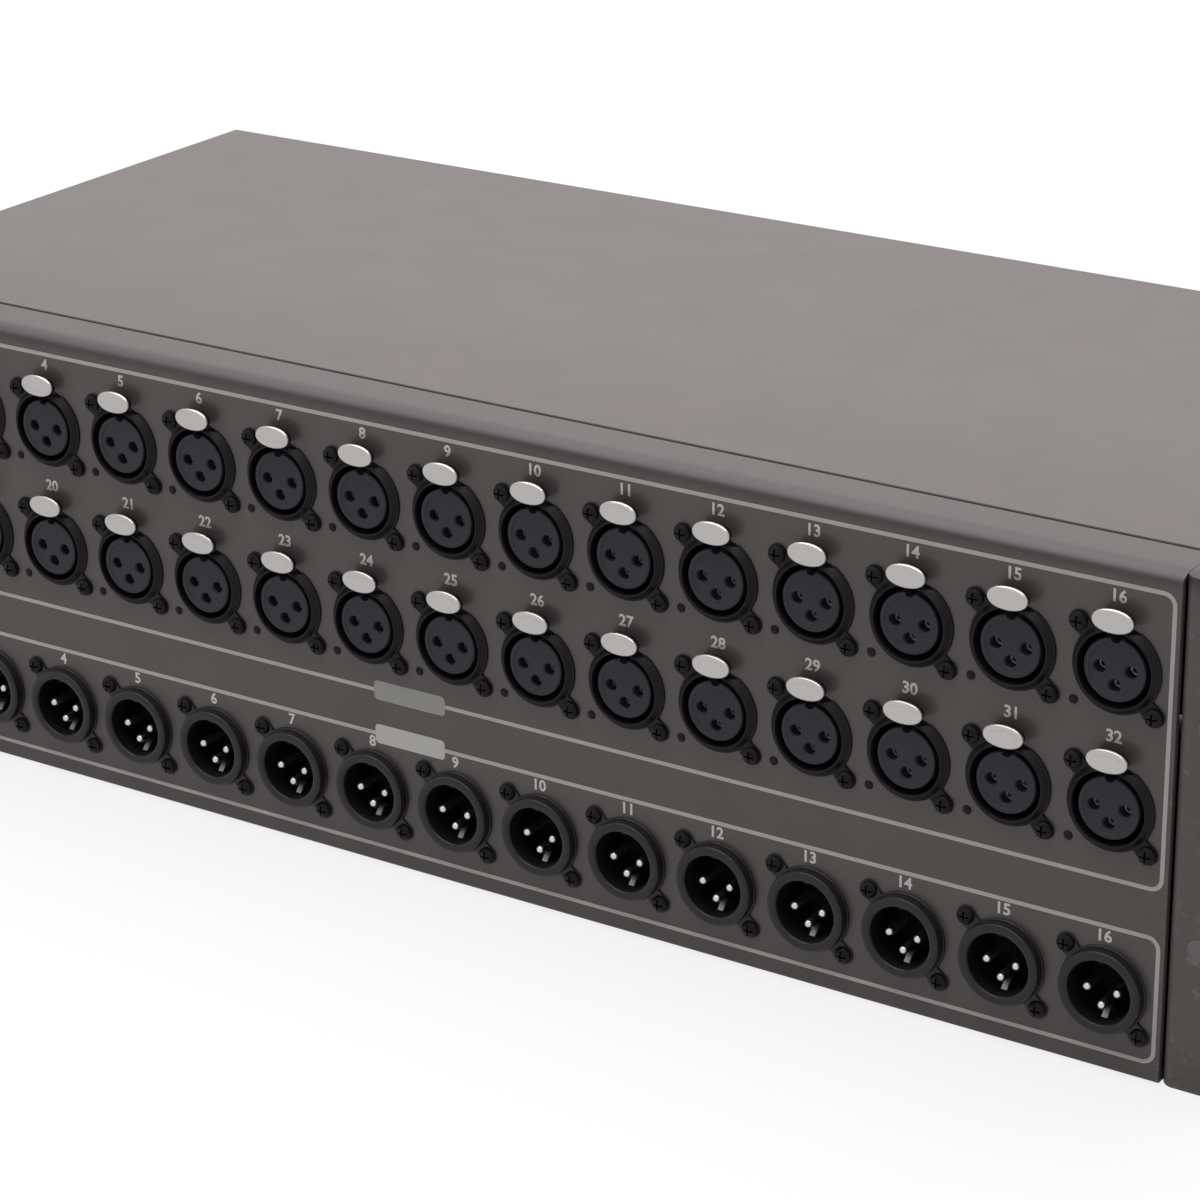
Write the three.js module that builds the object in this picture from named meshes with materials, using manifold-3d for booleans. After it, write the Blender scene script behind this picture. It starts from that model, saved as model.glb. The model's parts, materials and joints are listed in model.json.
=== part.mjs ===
// A three-unit rack stage box: two rows of latching input sockets over one row of output
// plugs on a folded front panel, wired by looms to two multipin connectors at the back.
// Millimetres. +X is to the right seen from the front, +Y runs back into the case, +Z is up.
// The origin is the centre of the underside.
import * as THREE from "three";
import { mergeVertices } from "three/addons/utils/BufferGeometryUtils.js";
import Module from "manifold-3d";

const wasm = await Module();
wasm.setup();

// Case
const bodyWidth = 444;
const bodyDepth = 207;
const bodyHeight = 132.5;
const panelThickness = 2;
const sheetThickness = 1.5;
const innerBend = 1.2;
const returnDepth = 17.3;
const seamGap = 0.3;
const fitGap = 0.3;
const baseFlangeHeight = 24;
const rearInset = 2;
const rearFlangeDepth = 8;

// Rack ears
const earThickness = 2.5;
const earWidth = 19.3;
const earLegLength = 42;
const slotLength = 10.3;
const slotWidth = 6.8;
const slotInset = 8.75;
const slotSpacing = 57.15;

// Connector grid
const connectorGap = 2.5;
const topMargin = 14.1;
const rowGap = 10.6;
const bottomMargin = 9.1;
const endMargin = 3.2;

// Connector body, shared by sockets and plugs
const flangeLand = 0.41;
const flangeThickness = 2;
const lugOffset = 10.2;
const lugRadius = 2.7;
const collarHeight = 1.1;
const collarRadius = 11.1;
const cutoutGap = 0.3;
const barHeight = 6;
const barThickness = 2;
const runningGap = 0.3;

// Input socket
const socketRadius = 9.6;
const sleeveWall = 1.6;
const socketDepth = 16;
const insertRadius = 8.1;
const contactCircle = 4.1;
const contactHoleRadius = 1.5;
const contactHoleDepth = 8;

// Push latch
const tabWidth = 11;
const tabHeight = 6.4;
const tabRise = 13.2;
const tabProud = 2.2;
const stemWidth = 3.8;
const stemThickness = 1.2;
const stemLift = 0.3;
const hookDepth = 9;
const hookLength = 3;
const hookDrop = 1.2;

// Output plug
const cupRadius = 8.4;
const cupWall = 1.9;
const cupDepth = 13;
const pinRadius = 1.2;
const pinRecess = 2;

// Boards behind the connectors
const boardThickness = 1.6;
const boardHeight = 18;

// Multipin connectors at the back
const multipinInset = 112;
const multipinFlange = 68;
const multipinFlangeThickness = 3;
const barrelRadius = 28;
const barrelWall = 3;
const barrelReach = 14;
const barrelInside = 8;
const lipWidth = 3;
const lipThickness = 2;
const insulatorThickness = 9;

// Looms inside
const trunkRadius = 4.5;
const branchRadius = 5.5;
const loomSpacing = 14;
const bridgeWidth = 20;
const bridgeOverhang = 22;
const bridgeBack = 118;

// Cover screws
const screwHeadRadius = 3.6;
const screwHeadHeight = 2;
const screwShankRadius = 1.9;
const screwLength = 8;
const screwInset = 22;
const screwHeight = 12;
const screwHoleGap = 0.35;

// Facets
const roundSides = 10;
const hiddenSides = 8;
const tabSides = 8;
const pinSides = 6;
const screwSides = 8;
const barrelSides = 20;
const slotEndSteps = 4;
const loomSteps = 14;
const lugCornerAngle = 38;
const lugNeckAngle = 9;
const bendSteps = 2;
const overrun = 1;

// Places that follow from the sizes above
const frontY = -bodyDepth / 2;
const rearY = bodyDepth / 2;
const halfWidth = bodyWidth / 2;
const seamY = frontY + returnDepth;
const panelBack = frontY + panelThickness;
const flangeFront = frontY - flangeThickness;
const rearFace = rearY - rearInset;
const sleeveRadius = socketRadius + sleeveWall;
const stemBottom = socketRadius + stemLift;
const stemTop = stemBottom + stemThickness;
const widest = Math.max(sleeveRadius, stemTop) + cutoutGap;
const cutoutRadius = widest / Math.cos(Math.PI / roundSides);
const flangeRadius = cutoutRadius + flangeLand;
const columnPitch = 2 * flangeRadius + connectorGap;
const edgeRoom = flangeRadius + endMargin;
const columns = Math.floor((bodyWidth - 2 * edgeRoom) / columnPitch) + 1;
const upperZ = bodyHeight - topMargin - flangeRadius;
const lowerZ = upperZ - 2 * flangeRadius - rowGap;
const outputZ = bottomMargin + flangeRadius;
const columnX = (index) => (index - (columns - 1) / 2) * columnPitch;
const columnIndexes = [...Array(columns).keys()];
const sleeveEnd = flangeFront + socketDepth;
const cupEnd = flangeFront + cupDepth;
const latchTravel = flangeThickness - runningGap;
const boardReach = columnX(columns - 1) + flangeRadius;

// Finishes
const finish = (color, roughness, metalness) =>
  new THREE.MeshStandardMaterial({ color, roughness, metalness });
const casePaint = finish(0x504e4c, 0.55, 0.2);
const connectorBlack = finish(0x1b1b1d, 0.5, 0.3);
const insertGrey = finish(0x3c3c42, 0.6, 0);
const latchNickel = finish(0xc8c4c3, 0.3, 0.9);
const contactSilver = finish(0xb8b8b4, 0.3, 0.9);
const shellGrey = finish(0x8f9092, 0.45, 0.8);
const insulatorBlack = finish(0x202022, 0.6, 0);
const loomBlack = finish(0x161618, 0.7, 0);
const screwBlack = finish(0x252527, 0.4, 0.6);
const bracketZinc = finish(0xa5a6a8, 0.4, 0.8);

// A closed three.js geometry as a solid that can be joined and cut.
function solid(geometry) {
  const bare = geometry.clone();
  bare.deleteAttribute("normal");
  bare.deleteAttribute("uv");
  const merged = mergeVertices(bare);
  return new wasm.Manifold(
    new wasm.Mesh({
      numProp: 3,
      vertProperties: merged.attributes.position.array,
      triVerts: new Uint32Array(merged.index.array),
    }),
  );
}

const joined = (solids) => solids.reduce((whole, next) => whole.add(next));
const without = (whole, cuts) => cuts.reduce((left, cut) => left.subtract(cut), whole);

// A flat outline carried along one axis from low to high. The two numbers of each point
// lie along the other two axes, in X, Y, Z order.
function prism(points, axis, low, high) {
  const shape = new THREE.Shape(points.map(([u, v]) => new THREE.Vector2(u, v)));
  const geometry = new THREE.ExtrudeGeometry(shape, { depth: high - low, bevelEnabled: false });
  geometry.translate(0, 0, axis === "y" ? -high : low);
  if (axis === "y") geometry.rotateX(Math.PI / 2);
  if (axis === "x") {
    const [ahead, right, up] = [
      new THREE.Vector3(1, 0, 0),
      new THREE.Vector3(0, 1, 0),
      new THREE.Vector3(0, 0, 1),
    ];
    geometry.applyMatrix4(new THREE.Matrix4().makeBasis(right, up, ahead));
  }
  return solid(geometry);
}

function block([x0, x1], [y0, y1], [z0, z1]) {
  const geometry = new THREE.BoxGeometry(x1 - x0, y1 - y0, z1 - z0);
  geometry.translate((x0 + x1) / 2, (y0 + y1) / 2, (z0 + z1) / 2);
  return solid(geometry);
}

const spread = (centre, half) => [centre - half, centre + half];

// The corners of a many-sided oval round a centre, the first one along +u.
function oval(u, v, halfU, halfV, sides) {
  return [...Array(sides).keys()].map((i) => {
    const angle = (2 * Math.PI * i) / sides;
    return [u + halfU * Math.cos(angle), v + halfV * Math.sin(angle)];
  });
}

const round = (u, v, radius, sides) => oval(u, v, radius, radius, sides);

// The outline of a sheet folded at right angles. The path is its outer face, and the
// sheet lies on the left of it.
function folded(path, thickness) {
  const outer = [];
  const inner = [];
  const normal = (a, b) => {
    const length = Math.hypot(b[0] - a[0], b[1] - a[1]);
    return [(a[1] - b[1]) / length, (b[0] - a[0]) / length];
  };
  path.forEach((point, i) => {
    const before = i > 0 ? normal(path[i - 1], point) : null;
    const after = i < path.length - 1 ? normal(point, path[i + 1]) : null;
    const at = (side, reach) => [point[0] + side[0] * reach, point[1] + side[1] * reach];
    if (!before || !after) {
      outer.push(point);
      inner.push(at(before || after, thickness));
      return;
    }
    const reach = innerBend + thickness;
    const centre = at([before[0] + after[0], before[1] + after[1]], reach);
    for (let step = 0; step <= bendSteps; step += 1) {
      const turn = ((Math.PI / 2) * step) / bendSteps;
      const [c, s] = [Math.cos(turn), Math.sin(turn)];
      const out = [-before[0] * c - after[0] * s, -before[1] * c - after[1] * s];
      outer.push([centre[0] + out[0] * reach, centre[1] + out[1] * reach]);
      inner.push([centre[0] + out[0] * innerBend, centre[1] + out[1] * innerBend]);
    }
  });
  return outer.concat(inner.reverse());
}

const group = new THREE.Group();

// Puts a finished solid into the model as a named part.
function place(name, shape, material) {
  const { vertProperties, triVerts } = shape.getMesh();
  const geometry = new THREE.BufferGeometry();
  geometry.setAttribute("position", new THREE.BufferAttribute(vertProperties, 3));
  geometry.setIndex(new THREE.BufferAttribute(triVerts, 1));
  geometry.computeVertexNormals();
  const mesh = new THREE.Mesh(geometry, material);
  mesh.name = name;
  group.add(mesh);
}

// The front panel is one sheet folded back along its top and bottom edges.
function frontPanel() {
  const path = [
    [seamY, bodyHeight],
    [frontY, bodyHeight],
    [frontY, 0],
    [seamY, 0],
  ];
  const sheet = prism(folded(path, panelThickness), "x", -halfWidth, halfWidth);
  const cutouts = [upperZ, lowerZ, outputZ].flatMap((z) =>
    columnIndexes.map((i) =>
      prism(
        round(columnX(i), z, cutoutRadius, roundSides),
        "y",
        frontY - overrun,
        panelBack + overrun,
      ),
    ),
  );
  return without(sheet, cutouts);
}

const pinned = (y, radius) =>
  prism(
    round(y, screwHeight, radius, screwSides),
    "x",
    -halfWidth - overrun,
    halfWidth + overrun,
  );
const legEnd = frontY + earLegLength;
const screwRows = [
  legEnd + screwInset,
  (legEnd + rearY) / 2,
  rearY - screwInset,
];
const screwHoles = () => screwRows.map((y) => pinned(y, screwShankRadius + screwHoleGap));

function topCover() {
  const path = [
    [halfWidth, fitGap],
    [halfWidth, bodyHeight],
    [-halfWidth, bodyHeight],
    [-halfWidth, fitGap],
  ];
  return without(prism(folded(path, sheetThickness), "y", seamY + seamGap, rearY), screwHoles());
}

const panHalf = halfWidth - sheetThickness - fitGap;

function basePan() {
  const path = [
    [-panHalf, baseFlangeHeight],
    [-panHalf, 0],
    [panHalf, 0],
    [panHalf, baseFlangeHeight],
  ];
  return without(prism(folded(path, sheetThickness), "y", seamY + seamGap, rearY), screwHoles());
}

const multipinZ = bodyHeight / 2;
const multipinX = [multipinInset, -multipinInset];

function rearPanel() {
  const half = panHalf - sheetThickness - fitGap;
  const flangeY = rearFace - rearFlangeDepth;
  const path = [
    [half, flangeY],
    [half, rearFace],
    [-half, rearFace],
    [-half, flangeY],
  ];
  const bottom = sheetThickness + innerBend;
  const top = bodyHeight - sheetThickness - fitGap;
  const cutouts = multipinX.map((x) =>
    prism(
      round(x, multipinZ, barrelRadius + fitGap, barrelSides),
      "y",
      rearFace - sheetThickness - overrun,
      rearFace + overrun,
    ),
  );
  return without(prism(folded(path, sheetThickness), "z", bottom, top), cutouts);
}

// A slot with round ends, as two half circles.
function slotOutline(x, z) {
  const straight = (slotLength - slotWidth) / 2;
  return [1, -1].flatMap((side) =>
    [...Array(slotEndSteps + 1).keys()].map((step) => {
      const angle = Math.PI * (step / slotEndSteps - 1 / 2);
      const [across, up] = [Math.cos(angle), Math.sin(angle)];
      return [
        x + side * (straight + (slotWidth / 2) * across),
        z + side * (slotWidth / 2) * up,
      ];
    }),
  );
}

// One ear, side 1 on the right and -1 on the left.
function rackEar(side) {
  const path = [
    [halfWidth, legEnd],
    [halfWidth, frontY],
    [halfWidth + earWidth, frontY],
  ];
  const outline = folded(path, earThickness).map(([x, y]) => [side * x, y]);
  const slotX = side * (halfWidth + earWidth - slotInset);
  const slots = [1, -1].map((up) => {
    const outline = slotOutline(slotX, bodyHeight / 2 + (up * slotSpacing) / 2);
    return prism(outline, "y", frontY - overrun, frontY + earThickness + overrun);
  });
  return without(prism(outline, "z", 0, bodyHeight), slots);
}

// The flange outline seen from the front: a round plate with two screw lugs on a diagonal,
// each narrower where it leaves the plate.
function flangeOutline(x, z) {
  const polar = (radius, degrees) => {
    const angle = degrees * THREE.MathUtils.DEG2RAD;
    return [radius * Math.cos(angle), radius * Math.sin(angle)];
  };
  const lugs = [1, -1].flatMap((sign) => {
    const middle = sign > 0 ? -45 : 135;
    return [-1, 1].flatMap((step) => {
      const [u, v] = polar(lugRadius, middle + step * lugCornerAngle);
      return [
        [sign * lugOffset + u, -sign * lugOffset + v],
        polar(flangeRadius, middle + step * lugNeckAngle),
      ];
    });
  });
  const apart = ([u, v]) => Math.abs(u + v) / Math.hypot(u, v);
  const clear = Math.SQRT2 * Math.sin((lugNeckAngle + 1) * THREE.MathUtils.DEG2RAD);
  const plate = round(0, 0, flangeRadius, roundSides).filter((corner) => apart(corner) > clear);
  const corners = [...plate, ...lugs];
  corners.sort((a, b) => Math.atan2(a[1], a[0]) - Math.atan2(b[1], b[0]));
  return corners.map(([u, v]) => [x + u, z + v]);
}

// A row of connector bodies, held together behind the panel by a bar. A collar round the
// bore may stand in front of the flange.
function housingRow(z, outerRadius, boreRadius, depth, collar, cutsFor) {
  const end = flangeFront + depth;
  const rim = flangeFront - collar;
  const bodies = columnIndexes.map((i) => {
    const flange = prism(flangeOutline(columnX(i), z), "y", flangeFront, frontY);
    const sleeve = prism(
      round(columnX(i), z, outerRadius, hiddenSides),
      "y",
      (flangeFront + frontY) / 2,
      end,
    );
    const body = flange.add(sleeve);
    if (collar === 0) return body;
    return body.add(prism(round(columnX(i), z, collarRadius, roundSides), "y", rim, frontY));
  });
  const reach = columnX(columns - 1) + outerRadius / 2;
  const bar = block([-reach, reach], [end - barThickness, end], spread(z, barHeight / 2));
  const bores = columnIndexes.flatMap((i) => [
    prism(
      round(columnX(i), z, boreRadius, roundSides),
      "y",
      rim - overrun,
      end + overrun,
    ),
    ...cutsFor(columnX(i), z),
  ]);
  return without(joined([bar, ...bodies]), bores);
}

// The room for a latch in a socket body: the tab's notch in the flange and the stem's slot.
function latchRoom(x, z) {
  const notch = block(
    spread(x, tabWidth / 2 + runningGap),
    [flangeFront - overrun, frontY],
    [z + tabRise - tabHeight / 2 - runningGap, z + flangeRadius + overrun],
  );
  const slotEnd = flangeFront + hookDepth + hookLength + latchTravel + runningGap;
  const slot = block(
    spread(x, stemWidth / 2 + runningGap),
    [flangeFront - overrun, slotEnd],
    [z + insertRadius, z + flangeRadius + overrun],
  );
  return [notch, slot];
}

// A push latch: an oval tab in front of the panel, a stem beside the socket and a hook in it.
function latch(x, z) {
  const tab = prism(
    oval(x, z + tabRise, tabWidth / 2, tabHeight / 2, tabSides),
    "y",
    flangeFront - tabProud,
    flangeFront,
  );
  const hookStart = flangeFront + hookDepth;
  const hookEnd = hookStart + hookLength;
  const side = [
    [flangeFront - tabProud / 2, stemTop],
    [flangeFront - tabProud / 2, stemBottom],
    [hookStart, stemBottom],
    [hookStart, stemBottom - hookDrop],
    [hookEnd, stemBottom],
    [hookEnd, stemTop],
  ].map(([y, up]) => [y, z + up]);
  const stem = prism(side, "x", ...spread(x, stemWidth / 2));
  return tab.add(stem);
}

const contactPlaces = [
  [-contactCircle, 0],
  [contactCircle, 0],
  [0, -contactCircle],
];

const boardStrip = (z, front) =>
  block(
    [-boardReach, boardReach],
    [front, front + boardThickness],
    spread(z, boardHeight / 2),
  );

// A board with the sockets' inserts on it, each with three contact holes.
function insertBoard(z) {
  const inserts = columnIndexes.map((i) =>
    prism(
      round(columnX(i), z, insertRadius, roundSides),
      "y",
      flangeFront,
      sleeveEnd + boardThickness / 2,
    ),
  );
  const holes = columnIndexes.flatMap((i) =>
    contactPlaces.map(([u, v]) =>
      prism(
        round(columnX(i) + u, z + v, contactHoleRadius, pinSides),
        "y",
        flangeFront - overrun,
        flangeFront + contactHoleDepth,
      ),
    ),
  );
  return without(joined([boardStrip(z, sleeveEnd), ...inserts]), holes);
}

// The board that closes the output cups, with the pins standing on it.
function outputBoard() {
  const pins = columnIndexes.flatMap((i) =>
    contactPlaces.map(([u, v]) =>
      prism(
        round(columnX(i) + u, outputZ + v, pinRadius, pinSides),
        "y",
        flangeFront - collarHeight + pinRecess,
        cupEnd + boardThickness / 2,
      ),
    ),
  );
  return joined([boardStrip(outputZ, cupEnd), ...pins]);
}

const boreRadius = barrelRadius - barrelWall;
const lipRadius = boreRadius - lipWidth;
const barrelBack = rearFace - sheetThickness - barrelInside;
const insulatorBack = barrelBack + lipThickness;

function multipinShell(x) {
  const ring = (radius, low, high) =>
    prism(round(x, multipinZ, radius, barrelSides), "y", low, high);
  const half = multipinFlange / 2;
  const plate = block(
    spread(x, half),
    [rearFace, rearFace + multipinFlangeThickness],
    spread(multipinZ, half),
  );
  const barrel = ring(barrelRadius, barrelBack, rearFace + barrelReach);
  const bore = ring(boreRadius, insulatorBack, rearFace + barrelReach + overrun);
  const lip = ring(lipRadius, barrelBack - overrun, rearFace);
  return without(plate.add(barrel), [bore, lip]);
}

const multipinInsulator = (x) =>
  prism(
    round(x, multipinZ, boreRadius - runningGap, barrelSides),
    "y",
    insulatorBack,
    insulatorBack + insulatorThickness,
  );

// A round cable along a smooth route of points.
function cable(points, radius, steps) {
  const route = new THREE.CatmullRomCurve3(points.map((p) => new THREE.Vector3(...p)));
  const section = new THREE.Shape(
    round(0, 0, radius, screwSides).map(([u, v]) => new THREE.Vector2(u, v)),
  );
  return solid(new THREE.ExtrudeGeometry(section, { steps, extrudePath: route }));
}

// A loom: a trunk along the back of one row's board and a branch back to a multipin.
function loom(rowZ, boardFront, x, endZ) {
  const trunkY = boardFront + boardThickness + runningGap + trunkRadius;
  const reach = columnX(columns - 1);
  const trunk = prism(round(trunkY, rowZ, trunkRadius, screwSides), "x", -reach, reach);
  const end = insulatorBack - runningGap;
  const level = trunkY + (end - trunkY) / 3;
  const branch = cable(
    [
      [x, trunkY - trunkRadius / 3, rowZ],
      [x, trunkY + branchRadius * 2, rowZ],
      [x, (trunkY + level) / 2, (rowZ + endZ) / 2],
      [x, level, endZ],
      [x, level + branchRadius * 2, endZ],
      [x, end, endZ],
    ],
    branchRadius,
    loomSteps,
  );
  return trunk.add(branch);
}

const loomZ = multipinZ - loomSpacing / 2;

// A bridge on the base that carries the looms half way along.
function loomBridge() {
  const half = multipinInset + bridgeOverhang;
  const top = loomZ - branchRadius - runningGap;
  const path = [
    [half, sheetThickness],
    [half, top],
    [-half, top],
    [-half, sheetThickness],
  ];
  const front = frontY + bridgeBack;
  return prism(folded(path, sheetThickness), "y", front, front + bridgeWidth);
}

// A cover screw through the cover's side and the base's flange.
function coverScrew(side, y) {
  const along = (radius, from, to) =>
    prism(
      round(y, screwHeight, radius, screwSides),
      "x",
      Math.min(side * from, side * to),
      Math.max(side * from, side * to),
    );
  const head = along(screwHeadRadius, halfWidth, halfWidth + screwHeadHeight);
  const shank = along(screwShankRadius, halfWidth - screwLength, halfWidth + screwHeadHeight / 2);
  return head.add(shank);
}

place("front_panel", frontPanel(), casePaint);
place("top_cover", topCover(), casePaint);
place("base_pan", basePan(), casePaint);
place("rear_panel", rearPanel(), casePaint);
place("rack_ear_left", rackEar(-1), casePaint);
place("rack_ear_right", rackEar(1), casePaint);
const socketBody = (z) => housingRow(z, sleeveRadius, socketRadius, socketDepth, 0, latchRoom);
place("upper_input_housings", socketBody(upperZ), connectorBlack);
place("lower_input_housings", socketBody(lowerZ), connectorBlack);
place(
  "output_housings",
  housingRow(outputZ, cupRadius + cupWall, cupRadius, cupDepth, collarHeight, () => []),
  connectorBlack,
);
place("upper_insert_board", insertBoard(upperZ), insertGrey);
place("lower_insert_board", insertBoard(lowerZ), insertGrey);
place("output_pin_board", outputBoard(), contactSilver);
[upperZ, lowerZ].forEach((z, row) =>
  columnIndexes.forEach((i) => {
    const number = String(row * columns + i + 1).padStart(2, "0");
    place(`latch_${number}`, latch(columnX(i), z), latchNickel);
  }),
);
["input", "output"].forEach((use, i) => {
  place(`${use}_multipin_shell`, multipinShell(multipinX[i]), shellGrey);
  place(`${use}_multipin_insulator`, multipinInsulator(multipinX[i]), insulatorBlack);
});
place("upper_input_loom", loom(upperZ, sleeveEnd, multipinX[0], loomZ + loomSpacing), loomBlack);
place("lower_input_loom", loom(lowerZ, sleeveEnd, multipinX[0], loomZ), loomBlack);
place("output_loom", loom(outputZ, cupEnd, multipinX[1], loomZ), loomBlack);
place("loom_bridge", loomBridge(), bracketZinc);
["right", "left"].forEach((word, k) =>
  screwRows.forEach((y, i) =>
    place(`cover_screw_${word}_${i + 1}`, coverScrew(k === 0 ? 1 : -1, y), screwBlack),
  ),
);

export default group;
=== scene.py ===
"""Looks of the stage box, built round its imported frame.

Sizes are in millimetres, in the part's own frame, and become metres when a mesh is made:
+X to the right seen from the front, +Y back into the case, +Z up.
"""

import json
import logging
import math
from dataclasses import dataclass
from enum import Enum
from functools import cached_property
from typing import Iterable, Sequence

import bmesh
import bpy
import numpy as np
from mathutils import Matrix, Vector

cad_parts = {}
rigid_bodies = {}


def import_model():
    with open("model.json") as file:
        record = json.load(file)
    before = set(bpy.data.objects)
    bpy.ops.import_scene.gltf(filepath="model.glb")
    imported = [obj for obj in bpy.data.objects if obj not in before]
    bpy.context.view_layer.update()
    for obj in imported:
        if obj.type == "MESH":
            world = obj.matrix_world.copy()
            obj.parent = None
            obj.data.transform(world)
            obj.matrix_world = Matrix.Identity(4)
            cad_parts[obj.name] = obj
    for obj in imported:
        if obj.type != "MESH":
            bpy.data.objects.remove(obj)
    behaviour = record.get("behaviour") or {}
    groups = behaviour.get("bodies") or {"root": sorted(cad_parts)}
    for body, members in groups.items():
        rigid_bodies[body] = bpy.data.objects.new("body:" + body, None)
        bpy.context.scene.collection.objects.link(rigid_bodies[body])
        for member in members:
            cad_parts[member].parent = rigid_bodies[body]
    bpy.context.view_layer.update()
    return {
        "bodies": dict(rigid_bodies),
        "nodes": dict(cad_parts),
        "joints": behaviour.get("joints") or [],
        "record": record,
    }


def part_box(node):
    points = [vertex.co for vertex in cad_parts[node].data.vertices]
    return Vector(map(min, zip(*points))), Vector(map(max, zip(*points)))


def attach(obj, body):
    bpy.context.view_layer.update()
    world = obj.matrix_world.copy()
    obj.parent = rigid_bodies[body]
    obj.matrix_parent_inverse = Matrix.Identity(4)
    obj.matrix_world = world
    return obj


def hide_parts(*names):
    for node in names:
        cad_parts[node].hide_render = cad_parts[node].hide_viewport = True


LOG = logging.getLogger("stage_box")
CASE = "case"
COVER_SCREWS = (1, 2, 3)
# Metres in a millimetre, and how close two corners are merged, in metres
MM = 0.001
MERGE_DISTANCE = 1e-6
# How far a cutter passes what it cuts, and a direction that no tube's route takes
OVERRUN = 1.0
TUBE_REFERENCE = (0.31, 0.17, 0.93)

Pair = tuple[float, float]
Triple = tuple[float, float, float]


class Axis(Enum):
    """An axis of the part's frame, as its place in a point."""

    X = 0
    Y = 1
    Z = 2


# Surfaces


@dataclass
class Surface:
    """Points in millimetres, and blocks of faces with as many corners, each with a finish index."""

    points: np.ndarray
    blocks: list[tuple[np.ndarray, int]]

    def moved(self, x: float = 0.0, y: float = 0.0, z: float = 0.0) -> "Surface":
        """The same surface somewhere else."""
        return Surface(self.points + np.array([x, y, z]), list(self.blocks))

    def repeated(self, places: np.ndarray) -> "Surface":
        """Copies of this surface.

        Args:
            places: one row (x, y, z) for each copy.

        Returns:
            One surface: every point plus every place, with the faces' indexes shifted.
        """
        count = len(self.points)
        shifts = np.arange(len(places))[:, None, None] * count
        points = (places[:, None, :] + self.points[None]).reshape(-1, 3)
        blocks = [
            ((faces[None] + shifts).reshape(-1, faces.shape[1]), finish)
            for faces, finish in self.blocks
        ]
        return Surface(points, blocks)

    def finished(self, finish: int) -> "Surface":
        """The same surface with one finish index all over."""
        return Surface(self.points, [(faces, finish) for faces, _ in self.blocks])

    def banded(self, finishes: Sequence[int]) -> "Surface":
        """The same surface with a finish index for each row of its one grid of faces."""
        rows = np.split(self.blocks[0][0], len(finishes))
        return Surface(self.points, list(zip(rows, finishes)))

    def turned(self, order: Sequence[int], signs: Sequence[int]) -> "Surface":
        """The same surface with its axes taken in another order and sign."""
        return Surface(self.points[:, list(order)] * np.array(signs), list(self.blocks))


def joined(surfaces: Iterable[Surface]) -> Surface:
    """Several surfaces as one.

    Args:
        surfaces: the surfaces.

    Returns:
        All their points and faces, with the faces' indexes shifted past the earlier points.
    """
    points, blocks, start = [], [], 0
    for surface in surfaces:
        points.append(surface.points)
        blocks += [(faces + start, finish) for faces, finish in surface.blocks]
        start += len(surface.points)
    return Surface(np.concatenate(points), blocks)


def grid(points: np.ndarray, closed_rows: bool = False, closed_columns: bool = False) -> Surface:
    """A sheet of quads over a grid of points.

    Args:
        points: an array (rows, columns, 3).
        closed_rows: whether the last row joins the first.
        closed_columns: whether the last column joins the first.

    Returns:
        The surface, where quad (i, j) joins point (i, j) to its next neighbours in both ways.
    """
    rows, columns = points.shape[:2]
    index = np.arange(rows * columns).reshape(rows, columns)
    if closed_rows:
        index = np.vstack([index, index[:1]])
    if closed_columns:
        index = np.hstack([index, index[:, :1]])
    quads = np.stack([index[:-1, :-1], index[:-1, 1:], index[1:, 1:], index[1:, :-1]], axis=-1)
    return Surface(points.reshape(-1, 3), [(quads.reshape(-1, 4), 0)])


def ringed(radii: np.ndarray, depths: np.ndarray, angles: np.ndarray, closed: bool) -> Surface:
    """Rings round the Y axis, each with its own radius at each angle.

    Args:
        radii: an array (rings, angles) or (rings, 1).
        depths: the y of each ring.
        angles: the angles in the XZ plane, from +X towards +Z.
        closed: whether the last ring joins the first.

    Returns:
        The surface x = r cos a, y = depth, z = r sin a.
    """
    radii = np.broadcast_to(radii, (len(depths), len(angles)))
    depth = np.broadcast_to(np.asarray(depths)[:, None], radii.shape)
    points = np.stack([radii * np.cos(angles), depth, radii * np.sin(angles)], axis=-1)
    return grid(points, closed_rows=closed, closed_columns=True)


def round_angles(sides: int) -> np.ndarray:
    """Equal steps round a circle."""
    return np.arange(sides) * 2 * math.pi / sides


def lathe(profile: Sequence[Pair], sides: int, closed: bool = False) -> Surface:
    """A profile of (radius, y) turned round the Y axis, where radius 0 closes to a pole."""
    shape = np.array(profile, float)
    return ringed(shape[:, :1], shape[:, 1], round_angles(sides), closed)


def arc(centre: Pair, radius: float, start: float, end: float, steps: int) -> list[Pair]:
    """The points of an arc.

    Args:
        centre: its centre.
        radius: its radius.
        start: the angle where it starts, in degrees.
        end: the angle where it ends.
        steps: the number of steps between its points.

    Returns:
        The points centre + radius (cos a, sin a), with a from start to end.
    """
    angle = np.radians(np.linspace(start, end, steps + 1))
    ring = np.array(centre) + radius * np.stack([np.cos(angle), np.sin(angle)], axis=1)
    return [tuple(point) for point in ring]


def carried(loop: np.ndarray, axis: Axis, low: float, high: float) -> Surface:
    """A closed outline carried along one axis, open at its ends.

    Args:
        loop: the outline's points on the two other axes, in X, Y, Z order.
        axis: the axis that it is carried along.
        low: where it starts.
        high: where it ends.

    Returns:
        One band of quads from the outline at the start to the outline at the end.
    """
    others = [other.value for other in Axis if other is not axis]
    points = np.zeros((2, len(loop), 3))
    points[:, :, others] = loop
    points[0, :, axis.value] = low
    points[1, :, axis.value] = high
    return grid(points, closed_columns=True)


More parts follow.
